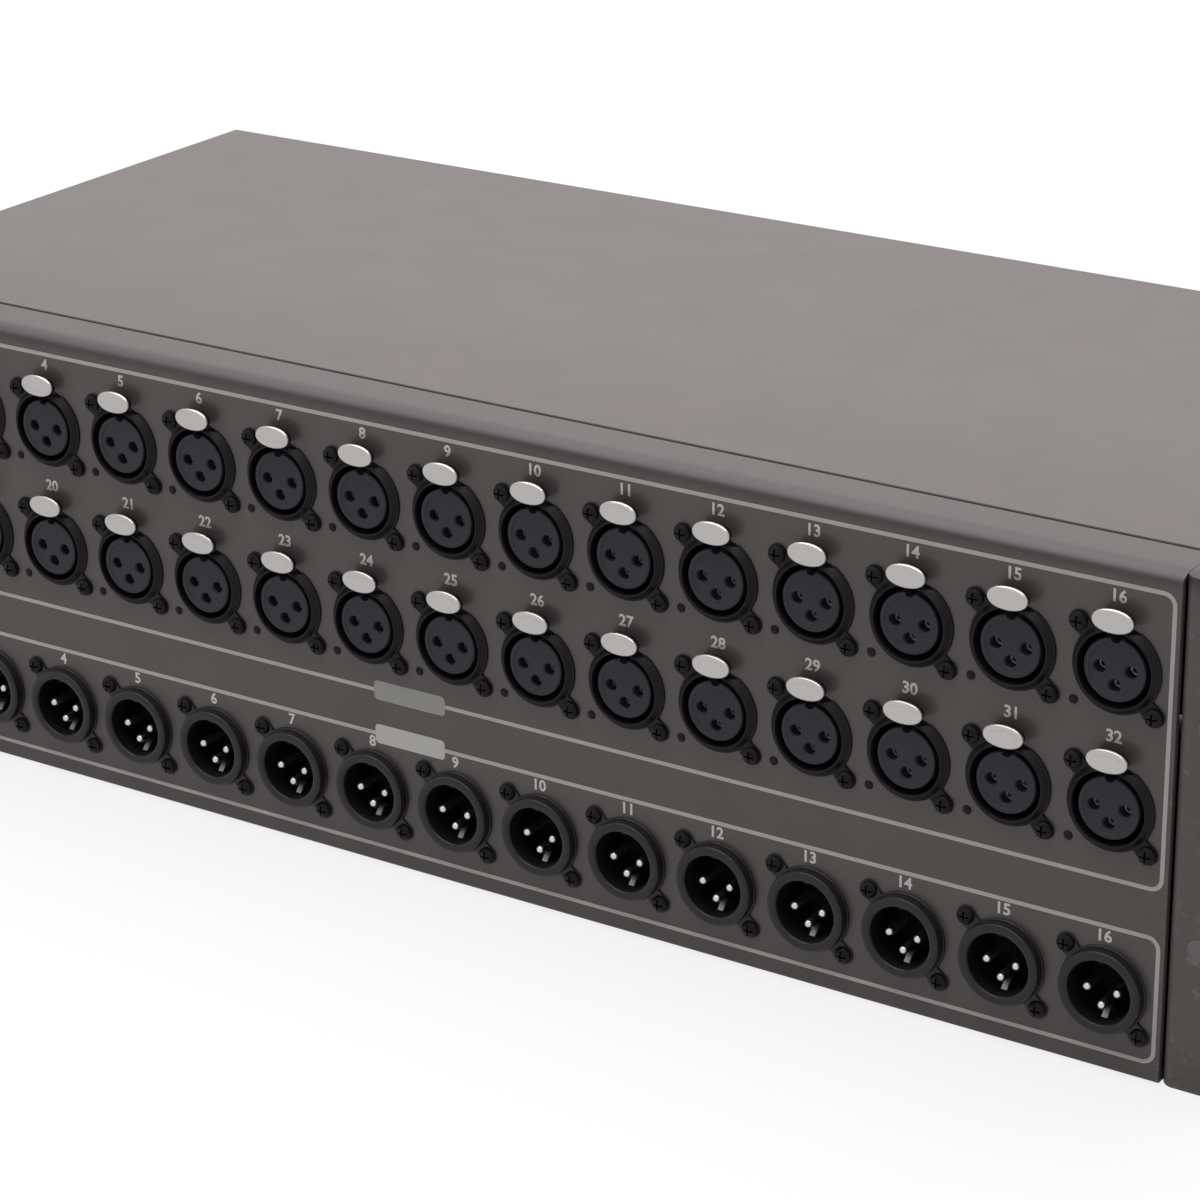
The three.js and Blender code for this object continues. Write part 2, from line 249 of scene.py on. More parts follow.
def prism(loop: np.ndarray, axis: Axis, low: float, high: float) -> Surface:
    """A closed outline carried along one axis, with flat ends.

    Args:
        loop: the outline's points on the two other axes, in X, Y, Z order.
        axis: the axis that it is carried along.
        low: where it starts.
        high: where it ends.

    Returns:
        A closed surface: a band of quads, and one face with as many corners at each end.
    """
    band = carried(loop, axis, low, high)
    ends = np.arange(2 * len(loop)).reshape(2, -1)
    return Surface(band.points, band.blocks + [(ends, 0)])


def box(low: Sequence[float], high: Sequence[float]) -> Surface:
    """A closed box between two corners."""
    loop = np.array([(low[0], low[2]), (high[0], low[2]), (high[0], high[2]), (low[0], high[2])])
    return prism(loop, Axis.Y, low[1], high[1])


def disc_loop(x: float, z: float, radius: float, sides: int) -> np.ndarray:
    """The corners of a round outline."""
    angle = round_angles(sides)
    return np.stack([x + radius * np.cos(angle), z + radius * np.sin(angle)], axis=1)


def slot_loop(x: float, z: float, length: float, width: float, steps: int) -> np.ndarray:
    """A slot's outline, with its length along X.

    Args:
        x: its middle.
        z: its middle's height.
        length: its length over the round ends.
        width: its width.
        steps: the steps of each end.

    Returns:
        Two half circles with the straight sides between them.
    """
    half, straight = width / 2, (length - width) / 2
    right = arc((x + straight, z), half, -90, 90, steps)
    left = arc((x - straight, z), half, 90, 270, steps)
    return np.array(right + left)


def rounded_loop(x: Pair, z: Pair, radius: float, steps: int) -> np.ndarray:
    """A rectangle's outline with round corners.

    Args:
        x: its left and right side.
        z: its lower and upper side.
        radius: the corners' radius.
        steps: the steps of each corner.

    Returns:
        A quarter circle at each corner, joined by the straight sides.
    """
    corners = [
        ((x[1] - radius, z[1] - radius), 0),
        ((x[0] + radius, z[1] - radius), 90),
        ((x[0] + radius, z[0] + radius), 180),
        ((x[1] - radius, z[0] + radius), 270),
    ]
    quarters = [arc(centre, radius, start, start + 90, steps) for centre, start in corners]
    return np.array([point for quarter in quarters for point in quarter])


def swept(route: np.ndarray, radius: np.ndarray, sides: int) -> Surface:
    """A round tube along a route, with closed ends.

    Args:
        route: an array (steps, 3).
        radius: the tube's radius at each step.
        sides: the number of sides.

    Returns:
        The surface route + r (cos a n + sin a b), where t is the route's direction,
        n is square to t and to a fixed axis, and b is t x n.
    """
    along = np.gradient(route, axis=0)
    along /= np.linalg.norm(along, axis=1, keepdims=True)
    across = np.cross(along, np.array(TUBE_REFERENCE))
    across /= np.linalg.norm(across, axis=1, keepdims=True)
    up = np.cross(along, across)
    angle = round_angles(sides)[None, :, None]
    rim = np.cos(angle) * across[:, None] + np.sin(angle) * up[:, None]
    rings = route[:, None] + np.asarray(radius)[:, None, None] * rim
    poles = np.repeat(route[[0, -1]][:, None], sides, axis=1)
    return grid(np.concatenate([poles[:1], rings, poles[1:]]), closed_columns=True)


def smooth_route(points: Sequence[Sequence[float]], steps: int) -> np.ndarray:
    """A smooth curve through points: a Catmull-Rom spline with its ends held.

    Args:
        points: the points that it passes, in millimetres.
        steps: the steps between each two of them.

    Returns:
        The points of (2b + (c - a)t + (2a - 5b + 4c - d)t^2 + (3b - 3c + d - a)t^3) / 2.
    """
    fixed = np.array(points, float)
    padded = np.vstack([2 * fixed[0] - fixed[1], fixed, 2 * fixed[-1] - fixed[-2]])
    a, b, c, d = (padded[k : len(padded) - 3 + k][:, None] for k in range(4))
    t = (np.arange(steps) / steps)[None, :, None]
    curve = b + (c - a) * t / 2 + (2 * a - 5 * b + 4 * c - d) * t**2 / 2
    curve = curve + (3 * b - 3 * c + d - a) * t**3 / 2
    return np.vstack([curve.reshape(-1, 3), fixed[-1:]])


@dataclass(frozen=True)
class Fold:
    """A sheet bent at right angles along an open path, seen end on."""

    thickness: float
    inner_bend: float
    reaches: tuple[Pair, ...] = ()
    steps: int = 8

    def outline(self, path: Sequence[Pair]) -> tuple[np.ndarray, np.ndarray]:
        """The sheet's two faces.

        Args:
            path: the corners of its outer face. The sheet lies on the left of the path.

        Returns:
            The outer and inner points in pairs: straight runs, at each corner a quarter ellipse
            on the outside, c - b cos t u - a sin t v, whose reach a before the corner and b
            after it is the bend's own or given, and a quarter circle on the inside.
        """
        points = np.array(path, float)
        way = np.diff(points, axis=0)
        way /= np.linalg.norm(way, axis=1, keepdims=True)
        left = np.stack([-way[:, 1], way[:, 0]], axis=1)
        bend = self.inner_bend + self.thickness
        angle = np.linspace(0, math.pi / 2, self.steps + 1)[:, None]
        outer, inner = [points[:1]], [points[:1] + self.thickness * left[0]]
        for corner in range(1, len(points) - 1):
            u, v = left[corner - 1], left[corner]
            a, b = self.reaches[corner - 1] if self.reaches else (bend, bend)
            centre = points[corner] + a * v + b * u
            outer.append(centre - b * np.cos(angle) * u - a * np.sin(angle) * v)
            centre = points[corner] + bend * (u + v)
            inner.append(centre - self.inner_bend * (np.cos(angle) * u + np.sin(angle) * v))
        outer.append(points[-1:])
        inner.append(points[-1:] + self.thickness * left[-1])
        return np.concatenate(outer), np.concatenate(inner)

    def sheet(self, path: Sequence[Pair], axis: Axis, low: float, high: float) -> Surface:
        """The folded sheet carried along an axis.

        Args:
            path: the corners of its outer face.
            axis: the axis that it is carried along.
            low: where it starts.
            high: where it ends.

        Returns:
            A closed surface: a band round the outline, and a strip of quads at each end, each
            from two neighbours on the outer face to the two opposite them on the inner face.
        """
        outer, inner = self.outline(path)
        band = carried(np.concatenate([outer, inner[::-1]]), axis, low, high)
        count = len(outer)
        index = np.arange(count - 1)
        back = 2 * count - 1 - index
        cap = np.stack([index, index + 1, back - 1, back], axis=1)
        return Surface(band.points, band.blocks + [(cap, 0), (cap + 2 * count, 0)])


# Meshes


class Bench:
    """Turns surfaces into Blender meshes and works on them."""

    sharp_angle: float = math.radians(32)
    soft_angle: float = math.radians(50)
    level_reach: float = 0.01
    digit_share: float = 0.73
    stroke_share: float = 0.035
    letter_steps: int = 3

    def mesh(self, surface: Surface, name: str) -> bpy.types.Mesh:
        """A clean mesh of a surface, in metres.

        Args:
            surface: the surface, in millimetres.
            name: the mesh's name.

        Returns:
            The mesh with doubles merged, faces pointing out and edges sharp past an angle.
        """
        faces = [face for block, _ in surface.blocks for face in block.tolist()]
        finishes = np.concatenate([np.full(len(block), index) for block, index in surface.blocks])
        mesh = bpy.data.meshes.new(name)
        mesh.from_pydata((surface.points * MM).tolist(), [], faces)
        mesh.polygons.foreach_set("material_index", finishes.astype(np.int32))
        work = bmesh.new()
        work.from_mesh(mesh)
        bmesh.ops.remove_doubles(work, verts=work.verts, dist=MERGE_DISTANCE)
        bmesh.ops.dissolve_degenerate(work, edges=work.edges, dist=MERGE_DISTANCE / 10)
        bmesh.ops.recalc_face_normals(work, faces=work.faces)
        for face in work.faces:
            face.smooth = True
        for edge in work.edges:
            edge.smooth = edge.calc_face_angle(math.pi) < self.sharp_angle
        work.to_mesh(mesh)
        work.free()
        return mesh

    def surface(self, source: bpy.types.Object) -> Surface:
        """An object's mesh, its modifiers applied, as a surface.

        Args:
            source: the object.

        Returns:
            Its triangles, in a block for each finish index.
        """
        depsgraph = bpy.context.evaluated_depsgraph_get()
        mesh = bpy.data.meshes.new_from_object(source.evaluated_get(depsgraph))
        mesh.calc_loop_triangles()
        points = np.empty(len(mesh.vertices) * 3)
        mesh.vertices.foreach_get("co", points)
        corners = np.empty(len(mesh.loop_triangles) * 3, np.int32)
        mesh.loop_triangles.foreach_get("vertices", corners)
        finish = np.empty(len(mesh.loop_triangles), np.int32)
        mesh.loop_triangles.foreach_get("material_index", finish)
        bpy.data.meshes.remove(mesh)
        triangles = corners.reshape(-1, 3)
        blocks = [(triangles[finish == index], int(index)) for index in np.unique(finish)]
        return Surface(points.reshape(-1, 3) / MM, blocks)

    def cut(self, surface: Surface, cutter: Surface) -> Surface:
        """One closed surface less another.

        Args:
            surface: the surface that is cut.
            cutter: the surface whose inside goes.

        Returns:
            What is left, as triangles.
        """
        body, tool = (self.blank(shape) for shape in (surface, cutter))
        step = body.modifiers.new("cut", "BOOLEAN")
        step.operation = "DIFFERENCE"
        step.solver = "EXACT"
        step.object = tool
        left = self.surface(body)
        self.discard(body, tool)
        return left

    def softened(
        self,
        surface: Surface,
        width: float,
        segments: int = 2,
        level: tuple[Axis, float] | None = None,
    ) -> Surface:
        """A surface with sharp edges rounded off.

        Args:
            surface: the closed surface.
            width: how far from the edge the rounding starts.
            segments: the steps of the rounding.
            level: an axis and a place on it, for only the edges that lie there.

        Returns:
            The surface with each chosen edge of more than 50 degrees rounded.
        """
        body = self.blank(surface)
        work = bmesh.new()
        work.from_mesh(body.data)
        edges = [edge for edge in work.edges if edge.calc_face_angle(0.0) > self.soft_angle]
        if level:
            axis, place = level[0].value, level[1] * MM
            reach = self.level_reach * MM
            edges = [
                edge for edge in edges if all(abs(v.co[axis] - place) < reach for v in edge.verts)
            ]
        bmesh.ops.bevel(
            work, geom=edges, offset=width * MM, segments=segments, profile=0.5, affect="EDGES"
        )
        work.to_mesh(body.data)
        work.free()
        left = self.surface(body)
        self.discard(body)
        return left

    def loose(self, surface: Surface, name: str) -> bpy.types.Object:
        """An object of a surface, in the scene.

        Args:
            surface: its shape.
            name: its name.

        Returns:
            The object, at the origin and without materials.
        """
        made = bpy.data.objects.new(name, self.mesh(surface, name))
        bpy.context.scene.collection.objects.link(made)
        return made

    def blank(self, surface: Surface) -> bpy.types.Object:
        """A working object.

        Args:
            surface: its shape.

        Returns:
            The object, with an empty slot for each finish so that its faces keep theirs.
        """
        made = self.loose(surface, "work")
        for _ in range(1 + max(finish for _, finish in surface.blocks)):
            made.data.materials.append(None)
        return made

    def discard(self, *objects: bpy.types.Object) -> None:
        """Removes working objects and their meshes.

        Args:
            objects: the objects.
        """
        for spent in objects:
            mesh = spent.data
            bpy.data.objects.remove(spent)
            bpy.data.meshes.remove(mesh)

    def lettering(self, words: str, height: float, depth: float) -> Surface:
        """Plain characters as a closed surface that faces -Y, centred on the origin.

        Args:
            words: the characters.
            height: a digit's height.
            depth: how thick the characters are.

        Returns:
            The characters, with their back at y = 0.
        """
        curve = bpy.data.curves.new("words", "FONT")
        curve.body = words
        curve.size = height * MM / self.digit_share
        curve.extrude = depth * MM / 2
        curve.resolution_u = self.letter_steps
        curve.offset = height * MM * self.stroke_share
        curve.align_x = "CENTER"
        source = bpy.data.objects.new("words", curve)
        bpy.context.scene.collection.objects.link(source)
        flat = self.surface(source)
        bpy.data.objects.remove(source)
        bpy.data.curves.remove(curve)
        upright = flat.turned((0, 2, 1), (1, -1, 1))
        low, high = upright.points.min(0), upright.points.max(0)
        middle = (low + high) / 2
        return upright.moved(-middle[0], -high[1], -middle[2])

    def piece(
        self,
        name: str,
        surface: Surface,
        finishes: Sequence["Finish"],
        body: str = CASE,
        replaces: Sequence[str] = (),
        slot: str | None = None,
    ) -> bpy.types.Object:
        """A finished piece of the object.

        Args:
            name: the piece's name.
            surface: its shape.
            finishes: the finish of each finish index.
            body: the body that it rides on.
            replaces: the nodes that it stands for.
            slot: the record's material slot, which is not used.

        Returns:
            The piece, riding on its body.
        """
        made = self.loose(surface, name)
        for finish in finishes:
            made.data.materials.append(finish.material())
        weights = made.modifiers.new("flat faces", "WEIGHTED_NORMAL")
        weights.keep_sharp = True
        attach(made, body)
        if replaces:
            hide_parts(*replaces)
        LOG.info("%s: %d faces on %s", name, len(made.data.polygons), body)
        return made


# Finishes


class Signal:
    """A shader socket that can stand in Python sums."""

    def __init__(self, wiring: "Wiring", socket: bpy.types.NodeSocket) -> None:
        """Wraps a node's output."""
        self.wiring = wiring
        self.socket = socket

    def combined(self, operation: str, first: object, second: object) -> "Signal":
        """The result of a Math node."""
        return self.wiring.node("ShaderNodeMath", {"operation": operation}, {0: first, 1: second})

    def __add__(self, other: object) -> "Signal":
        """The sum."""
        return self.combined("ADD", self, other)

    def __radd__(self, other: object) -> "Signal":
        """The sum, the other way round."""
        return self.combined("ADD", other, self)

    def __sub__(self, other: object) -> "Signal":
        """The difference."""
        return self.combined("SUBTRACT", self, other)

    def __rsub__(self, other: object) -> "Signal":
        """The difference, the other way round."""
        return self.combined("SUBTRACT", other, self)

    def __mul__(self, other: object) -> "Signal":
        """The product."""
        return self.combined("MULTIPLY", self, other)

    def __rmul__(self, other: object) -> "Signal":
        """The product, the other way round."""
        return self.combined("MULTIPLY", other, self)

    def at_most(self, other: object) -> "Signal":
        """The smaller of the two."""
        return self.combined("MINIMUM", self, other)

    def at_least(self, other: object) -> "Signal":
        """The larger of the two."""
        return self.combined("MAXIMUM", self, other)

    def size(self) -> "Signal":
        """The value without its sign."""
        return self.combined("ABSOLUTE", self, 0.0)

    def step(self, low: float, high: float) -> "Signal":
        """0 below low, 1 above high, and smooth between them."""
        settings = {"interpolation_type": "SMOOTHSTEP"}
        return self.wiring.node("ShaderNodeMapRange", settings, {0: self, 1: low, 2: high})

    def past(self, levels: Pair) -> "Signal":
        """The same step for a place in metres, between two levels in millimetres."""
        return self.step(levels[0] * MM, levels[1] * MM)


class Wiring:
    """The nodes of one material or of the sky."""

    def __init__(self, made: bpy.types.Material | bpy.types.World, shader: str) -> None:
        """Starts from the nodes that a new material or world has.

        Args:
            made: the material or world.
            shader: the name of its shader node.
        """
        self.made = made
        self.made.use_nodes = True
        self.tree = self.made.node_tree
        self.shader = self.tree.nodes[shader]

    @staticmethod
    def material(name: str) -> "Wiring":
        """The wiring of a new material."""
        return Wiring(bpy.data.materials.new(name), "Principled BSDF")

    @cached_property
    def place(self) -> Signal:
        """The place on the object, as a vector."""
        return self.node("ShaderNodeTexCoord", {}, {}, output="Object")

    def node(self, kind: str, settings: dict, inputs: dict, output: int | str = 0) -> Signal:
        """Adds any node.

        Args:
            kind: the node's type.
            settings: its settings, set first.
            inputs: a value or a Signal for each input, by name or place.
            output: the output to return.

        Returns:
            That output as a Signal.
        """
        made = self.tree.nodes.new(kind)
        for name, value in settings.items():
            setattr(made, name, value)
        for name, value in inputs.items():
            self.feed(made.inputs[name], value)
        return Signal(self, made.outputs[output])

    def feed(self, socket: bpy.types.NodeSocket, value: object) -> None:
        """Sets or links an input.

        Args:
            socket: the input.
            value: a value to set, or a Signal to link.
        """
        if isinstance(value, Signal):
            self.tree.links.new(value.socket, socket)
        else:
            socket.default_value = value

    def dress(self, **values: object) -> None:
        """Sets or links the shader's inputs, each by its name with _ for a space."""
        for name, value in values.items():
            self.feed(self.shader.inputs[name.replace("_", " ")], value)

    def noise(self, size: float, detail: float = 3.0, roughness: float = 0.5) -> Signal:
        """Noise over the object.

        Args:
            size: the size of its lumps, in millimetres.
            detail: the number of finer layers.
            roughness: how strong these are.

        Returns:
            Values from 0 to 1.
        """
        inputs = {
            "Vector": self.place,
            "Scale": 1 / (size * MM),
            "Detail": detail,
            "Roughness": roughness,
        }
        return self.node("ShaderNodeTexNoise", {}, inputs)

    def mixed(self, share: object, first: object, second: object) -> Signal:
        """One colour turning into another.

        Args:
            share: the second colour's share, from 0 to 1.
            first: a colour or a Signal.
            second: a colour or a Signal.

        Returns:
            The mixed colour.
        """
        settings = {"data_type": "RGBA", "clamp_factor": True}
        inputs = {0: share, 6: first, 7: second}
        return self.node("ShaderNodeMix", settings, inputs, output=2)

    def bump(self, height: Signal, depth: float) -> None:
        """Raises the surface, in shading only, by a height of 0 to 1 times a depth in mm."""
        inputs = {"Strength": 1.0, "Distance": depth * MM, "Height": height}
        self.dress(Normal=self.node("ShaderNodeBump", {}, inputs))

    def axes(self) -> tuple[Signal, Signal, Signal]:
        """The place on the object, in metres.

        Returns:
            The places along X, Y and Z.
        """
        split = self.node("ShaderNodeSeparateXYZ", {}, {0: self.place})
        outputs = split.socket.node.outputs
        return tuple(Signal(self, outputs[axis.value]) for axis in Axis)

    def seen(self) -> Signal:
        """Which rays see the pale surroundings.

        Returns:
            1 for rays from the camera and for those that metal and glass send on, else 0.
        """
        path = self.node("ShaderNodeLightPath", {}, {}, output="Is Camera Ray")
        outputs = path.socket.node.outputs
        glossy, through = (
            Signal(self, outputs[name]) for name in ("Is Glossy Ray", "Is Transmission Ray")
        )
        return path.at_least(glossy).at_least(through)


# The materials made so far, by name
MADE: dict[str, bpy.types.Material] = {}


def shade(colour: Triple, share: float = 1.0) -> tuple[float, float, float, float]:
    """A colour made darker or lighter by a factor, at most 1, with its alpha."""
    return (*(min(part * share, 1.0) for part in colour), 1.0)


@dataclass(frozen=True)
class Finish:
    """A plain finish: one colour that varies a little, a fine grain and uneven gloss."""

    name: str
    colour: Triple
    roughness: float
    metallic: float = 0.0
    variation: float = 0.12
    patch: float = 9.0
    grain: float = 0.5
    relief: float = 0.01
    gloss_change: float = 0.08
    coat: float = 0.0
    specular: float = 0.5
    patch_share: float = 0.6

    def material(self) -> bpy.types.Material:
        """The finish as a Blender material.

        Returns:
            The material, which is made only once.
        """
        if self.name not in MADE:
            wiring = Wiring.material(self.name)
            wiring.dress(
                Specular_IOR_Level=self.specular, Metallic=self.metallic, Coat_Weight=self.coat
            )
            self.wire(wiring)
            MADE[self.name] = wiring.made
        return MADE[self.name]

    def varied(self, wiring: Wiring, share: Signal) -> Signal:
        """The finish's colour, darker where share is 0 and lighter where it is 1."""
        darker, lighter = 1 - self.variation, 1 + self.variation
        return wiring.mixed(share, shade(self.colour, darker), shade(self.colour, lighter))

    def uneven(self, change: Signal) -> Signal:
        """The finish's roughness, changed a little as change goes from 0 to 1."""
        return self.roughness + (change - 0.5) * (2 * self.gloss_change)

    def wire(self, wiring: Wiring) -> None:
        """Wires the finish's colour, gloss and relief.

        Args:
            wiring: the wiring of its material.
        """
        patches = wiring.noise(self.patch, detail=4.0)
        grain = wiring.noise(self.grain, detail=2.0)
        tone = patches * self.patch_share + grain * (1 - self.patch_share)
        wiring.dress(Base_Color=self.varied(wiring, tone), Roughness=self.uneven(patches))
        wiring.bump(grain, self.relief)


@dataclass(frozen=True)
class CasePaint(Finish):
    """Satin powder coat on the case's sheets.

    It has orange peel and faint patches, rubbed outer edges, painted light with a dusting on the
    cover that grows lighter towards its back, a painted shadow, partly dirt, along the seam where
    the cover meets the front, and painted shade on the front's top strip, bend and edge and along
    its foot.
    """

    # Sizes, reaches and levels are in millimetres. The top's and the strip's levels count from
    # the case's height, and the strip's end and the seam's levels from the seam.
    half_width: float = 222.0
    height: float = 132.5
    front: float = -103.5
    seam: float = -86.05
    cloud_size: float = 60.0
    peel_size: float = 1.1
    peel_share: float = 0.75
    tone_shares: Triple = (0.35, 0.3, 0.35)
    tone_range: Pair = (0.3, 0.7)
    grit_gloss: float = 0.1
    # Painted light with a dusting: the top grows lighter from the seam towards its back
    dust_and_top_light: Triple = (0.16, 0.147, 0.142)
    top_light_reach: float = 75.0
    top_light_share: float = 0.13
    film_size: float = 22.0
    film_range: Pair = (0.25, 0.75)
    film_share: float = 0.12
    top_levels: Pair = (-0.5, -0.1)
    # Painted shade: a darker tone on the front's top strip and bend, and along its foot
    strip: Triple = (0.066, 0.0585, 0.056)
    strip_levels: Pair = (-2.4, 0.0)
    strip_end: Pair = (-0.1, 0.1)
    strip_shade_share: float = 0.9
    # Near black, for painted shade on the front's top edge shoulder and the seam's painted shadow
    # with dirt
    shade_and_grime: Triple = (0.012, 0.011, 0.0105)
    corner_depth: Pair = (-102.0, -96.5)
    corner_levels: Pair = (127.9, 131.8)
    corner_shade_share: float = 0.75
    # Painted shade near the floor: the front grows darker towards its bottom
    foot: Pair = (2.5, 15.0)
    foot_shade_share: float = 0.72
    wear: Triple = (0.2, 0.19, 0.185)
    edge_reach: float = 1.3
    rub_size: float = 3.5
    rub_range: Pair = (0.56, 0.7)
    wear_share: float = 0.6
    wear_gloss: float = 0.15
    # Painted shadow along the seam where the cover meets the front, partly dirt
    seam_levels: Pair = (0.55, 1.0)
    seam_size: float = 9.0
    seam_share: float = 0.78
    seam_change: float = 0.3
    seam_gloss: float = 0.3

    def worn_edge(self, x: Signal, y: Signal, z: Signal) -> Signal:
        """Where the case's outer edges are.

        Args:
            x: the place along X, in metres.
            y: the place along Y.
            z: the place along Z.

        Returns:
            1 along an outer edge and 0 a little way in from it: the sum of the products of
            each two of near a side, near the top and near the front.
        """
        near = (-self.edge_reach, 0.0)
        side = (x.size() - self.half_width * MM).past(near)
        top = (z - self.height * MM).past(near)
        ahead = (self.front * MM - y).past(near)
        return side * top + top * ahead + side * ahead

    def wire(self, wiring: Wiring) -> None:
        """Wires the paint, one layer over the other.

        Args:
            wiring: the wiring of its material.
        """
        x, y, z = wiring.axes()
        above, behind = z - self.height * MM, y - self.seam * MM
        cloud = wiring.noise(self.cloud_size, roughness=0.55)
        patches = wiring.noise(self.patch, detail=5.0, roughness=0.6)
        grit = wiring.noise(self.grain, detail=2.0, roughness=0.7)
        first, second, third = self.tone_shares
        tone = cloud * first + patches * second + grit * third
        paint = self.varied(wiring, tone.step(*self.tone_range))

        # Painted light with a dusting on the top, lighter from the seam towards its back
        film = wiring.noise(self.film_size, detail=4.0, roughness=0.6).step(*self.film_range)
        top_toward_back = above.past(self.top_levels) * behind.past((0.0, self.top_light_reach))
        dust_and_light_mask = top_toward_back * (self.top_light_share + film * self.film_share)
        paint = wiring.mixed(dust_and_light_mask, paint, shade(self.dust_and_top_light))

        # Painted shade on the front's top strip and bend
        bent = above.past(self.strip_levels) * (1.0 - behind.past(self.strip_end))
        paint = wiring.mixed(bent * self.strip_shade_share, paint, shade(self.strip))
        # Painted shade on the shoulder of the front's top edge
        corner = z.past(self.corner_levels) * (1.0 - y.past(self.corner_depth))
        paint = wiring.mixed(corner * self.corner_shade_share, paint, shade(self.shade_and_grime))
        # Painted shade: darker towards the bottom, near the floor
        foot = 1.0 - z.past(self.foot)
        paint = wiring.mixed(foot * self.foot_shade_share, paint, shade(self.strip))

        rubbed = wiring.noise(self.rub_size, detail=6.0, roughness=0.75).step(*self.rub_range)
        wear = (self.worn_edge(x, y, z) * rubbed * self.wear_share).at_most(1.0)
        paint = wiring.mixed(wear, paint, shade(self.wear))

        # Painted shadow in the seam between cover and front, partly dirt
        seam = 1.0 - behind.size().past(self.seam_levels)
        uneven = self.seam_share + wiring.noise(self.seam_size, detail=4.0) * self.seam_change
        paint = wiring.mixed((seam * uneven).at_most(1.0), paint, shade(self.shade_and_grime))

        gloss = self.uneven(cloud) + (grit - 0.5) * self.grit_gloss
        gloss = gloss - wear * self.wear_gloss + seam * self.seam_gloss
        wiring.dress(Base_Color=paint, Roughness=gloss)
        peel = wiring.noise(self.peel_size, detail=2.0)
        wiring.bump(peel * self.peel_share + grit * (1 - self.peel_share), self.relief)


@dataclass(frozen=True)
class PlatedMetal(Finish):
    """Plated metal with fine marks drawn out along X and a few darker spots."""

    metallic: float = 1.0
    variation: float = 0.08
    stretch: float = 0.12
    spot_range: Pair = (0.6, 0.75)
    spot_tone: float = 0.72
    spot_share: float = 0.5
    spot_gloss: float = 0.12

    def wire(self, wiring: Wiring) -> None:
        """Wires the plating.

        Args:
            wiring: the wiring of its material.
        """
        stretch = {"Scale": (self.stretch, 1.0, 1.0), "Vector": wiring.place}
        drawn = wiring.node("ShaderNodeMapping", {}, stretch)
        inputs = {"Vector": drawn, "Scale": 1 / (self.grain * MM), "Detail": 3.0}
        marks = wiring.node("ShaderNodeTexNoise", {}, inputs)
        spots = wiring.noise(self.patch, detail=5.0, roughness=0.65).step(*self.spot_range)
        dull = shade(self.colour, self.spot_tone)
        plate = wiring.mixed(spots * self.spot_share, self.varied(wiring, marks), dull)
        gloss = self.uneven(marks) + spots * self.spot_gloss
        wiring.dress(Base_Color=plate, Roughness=gloss)
        wiring.bump(marks, self.relief)


@dataclass(frozen=True)
class Sleeve(Finish):
    """Woven cable sleeve: two sets of crossing threads along and round the loom."""

    thread: float = 1.6
    gap_tone: float = 0.6
    thread_gloss: float = 0.1

    def wire(self, wiring: Wiring) -> None:
        """Wires the weave.

        Args:
            wiring: the wiring of its material.
        """
        x, y, z = wiring.axes()
        pitch = 2 * math.pi / (self.thread * MM)
        first, second = (
            wiring.node("ShaderNodeMath", {"operation": "SINE"}, {0: along * pitch})
            for along in (x + y + z, x + y - z)
        )
        threads = (first * second + 1.0) * 0.5
        tone = wiring.mixed(threads, shade(self.colour, self.gap_tone), shade(self.colour))
        wiring.dress(Base_Color=tone, Roughness=self.roughness + threads * self.thread_gloss)
        wiring.bump(threads, self.relief)


CASE_COAT = CasePaint(
    "case_powder_coat",
    (0.0955, 0.083, 0.0795),
    roughness=0.5,
    patch=14.0,
    grain=0.35,
    relief=0.03,
    specular=0.45,
)
SOCKET_BLACK = Finish(
    "socket_black", (0.0052, 0.005, 0.0054), roughness=0.42, relief=0.012, specular=0.17
)
BORE_BLACK = Finish(
    "bore_black", (0.0075, 0.0072, 0.0078), roughness=0.6, relief=0.008, specular=0.14
)
PLUG_GREY = Finish(
    "plug_grey", (0.0165, 0.0163, 0.017), roughness=0.33, relief=0.012, specular=0.27
)
INSERT_PLASTIC = Finish(
    "insert_plastic", (0.031, 0.03, 0.038), roughness=0.55, grain=0.3, specular=0.25
)
LATCH_PLATING = PlatedMetal(
    "latch_plating",
    (0.455, 0.44, 0.43),
    roughness=0.34,
    variation=0.06,
    patch=2.5,
    grain=0.22,
    relief=0.004,
)
CONTACT_PLATING = PlatedMetal(
    "contact_plating", (0.6, 0.59, 0.56), roughness=0.3, patch=1.5, grain=0.2, relief=0.003
)
SPRING_PLATING = PlatedMetal(
    "spring_plating", (0.3, 0.295, 0.28), roughness=0.45, patch=1.5, grain=0.2
)
SHELL_ANODISED = PlatedMetal(
    "shell_anodised",
    (0.34, 0.34, 0.35),
    roughness=0.42,
    metallic=0.9,
    patch=6.0,
    grain=0.4,
    relief=0.006,
)
INSULATOR_MOULDING = Finish(
    "insulator_moulding", (0.016, 0.016, 0.017), roughness=0.6, grain=0.4, specular=0.25
)
SCREW_PLATING = Finish(
    "screw_plating",
    (0.005, 0.005, 0.0055),
    roughness=0.38,
    grain=0.2,
    relief=0.004,
    specular=0.14,
)
BRACKET_PLATING = PlatedMetal(
    "bracket_plating",
    (0.45, 0.45, 0.46),
    roughness=0.36,
    variation=0.1,
    patch=8.0,
    relief=0.006,
)
BOARD_GREEN = Finish("board_green", (0.01, 0.05, 0.02), roughness=0.4, coat=0.3)
LOOM_WEAVE = Sleeve(
    "loom_weave", (0.014, 0.014, 0.015), roughness=0.6, relief=0.25, specular=0.25
)
TIE_BLACK = Finish("tie_black", (0.01, 0.01, 0.01), roughness=0.45, specular=0.3)
PRINT_GREY = Finish(
    "print_grey", (0.5, 0.49, 0.48), roughness=0.5, variation=0.14, grain=0.3, relief=0.004
)
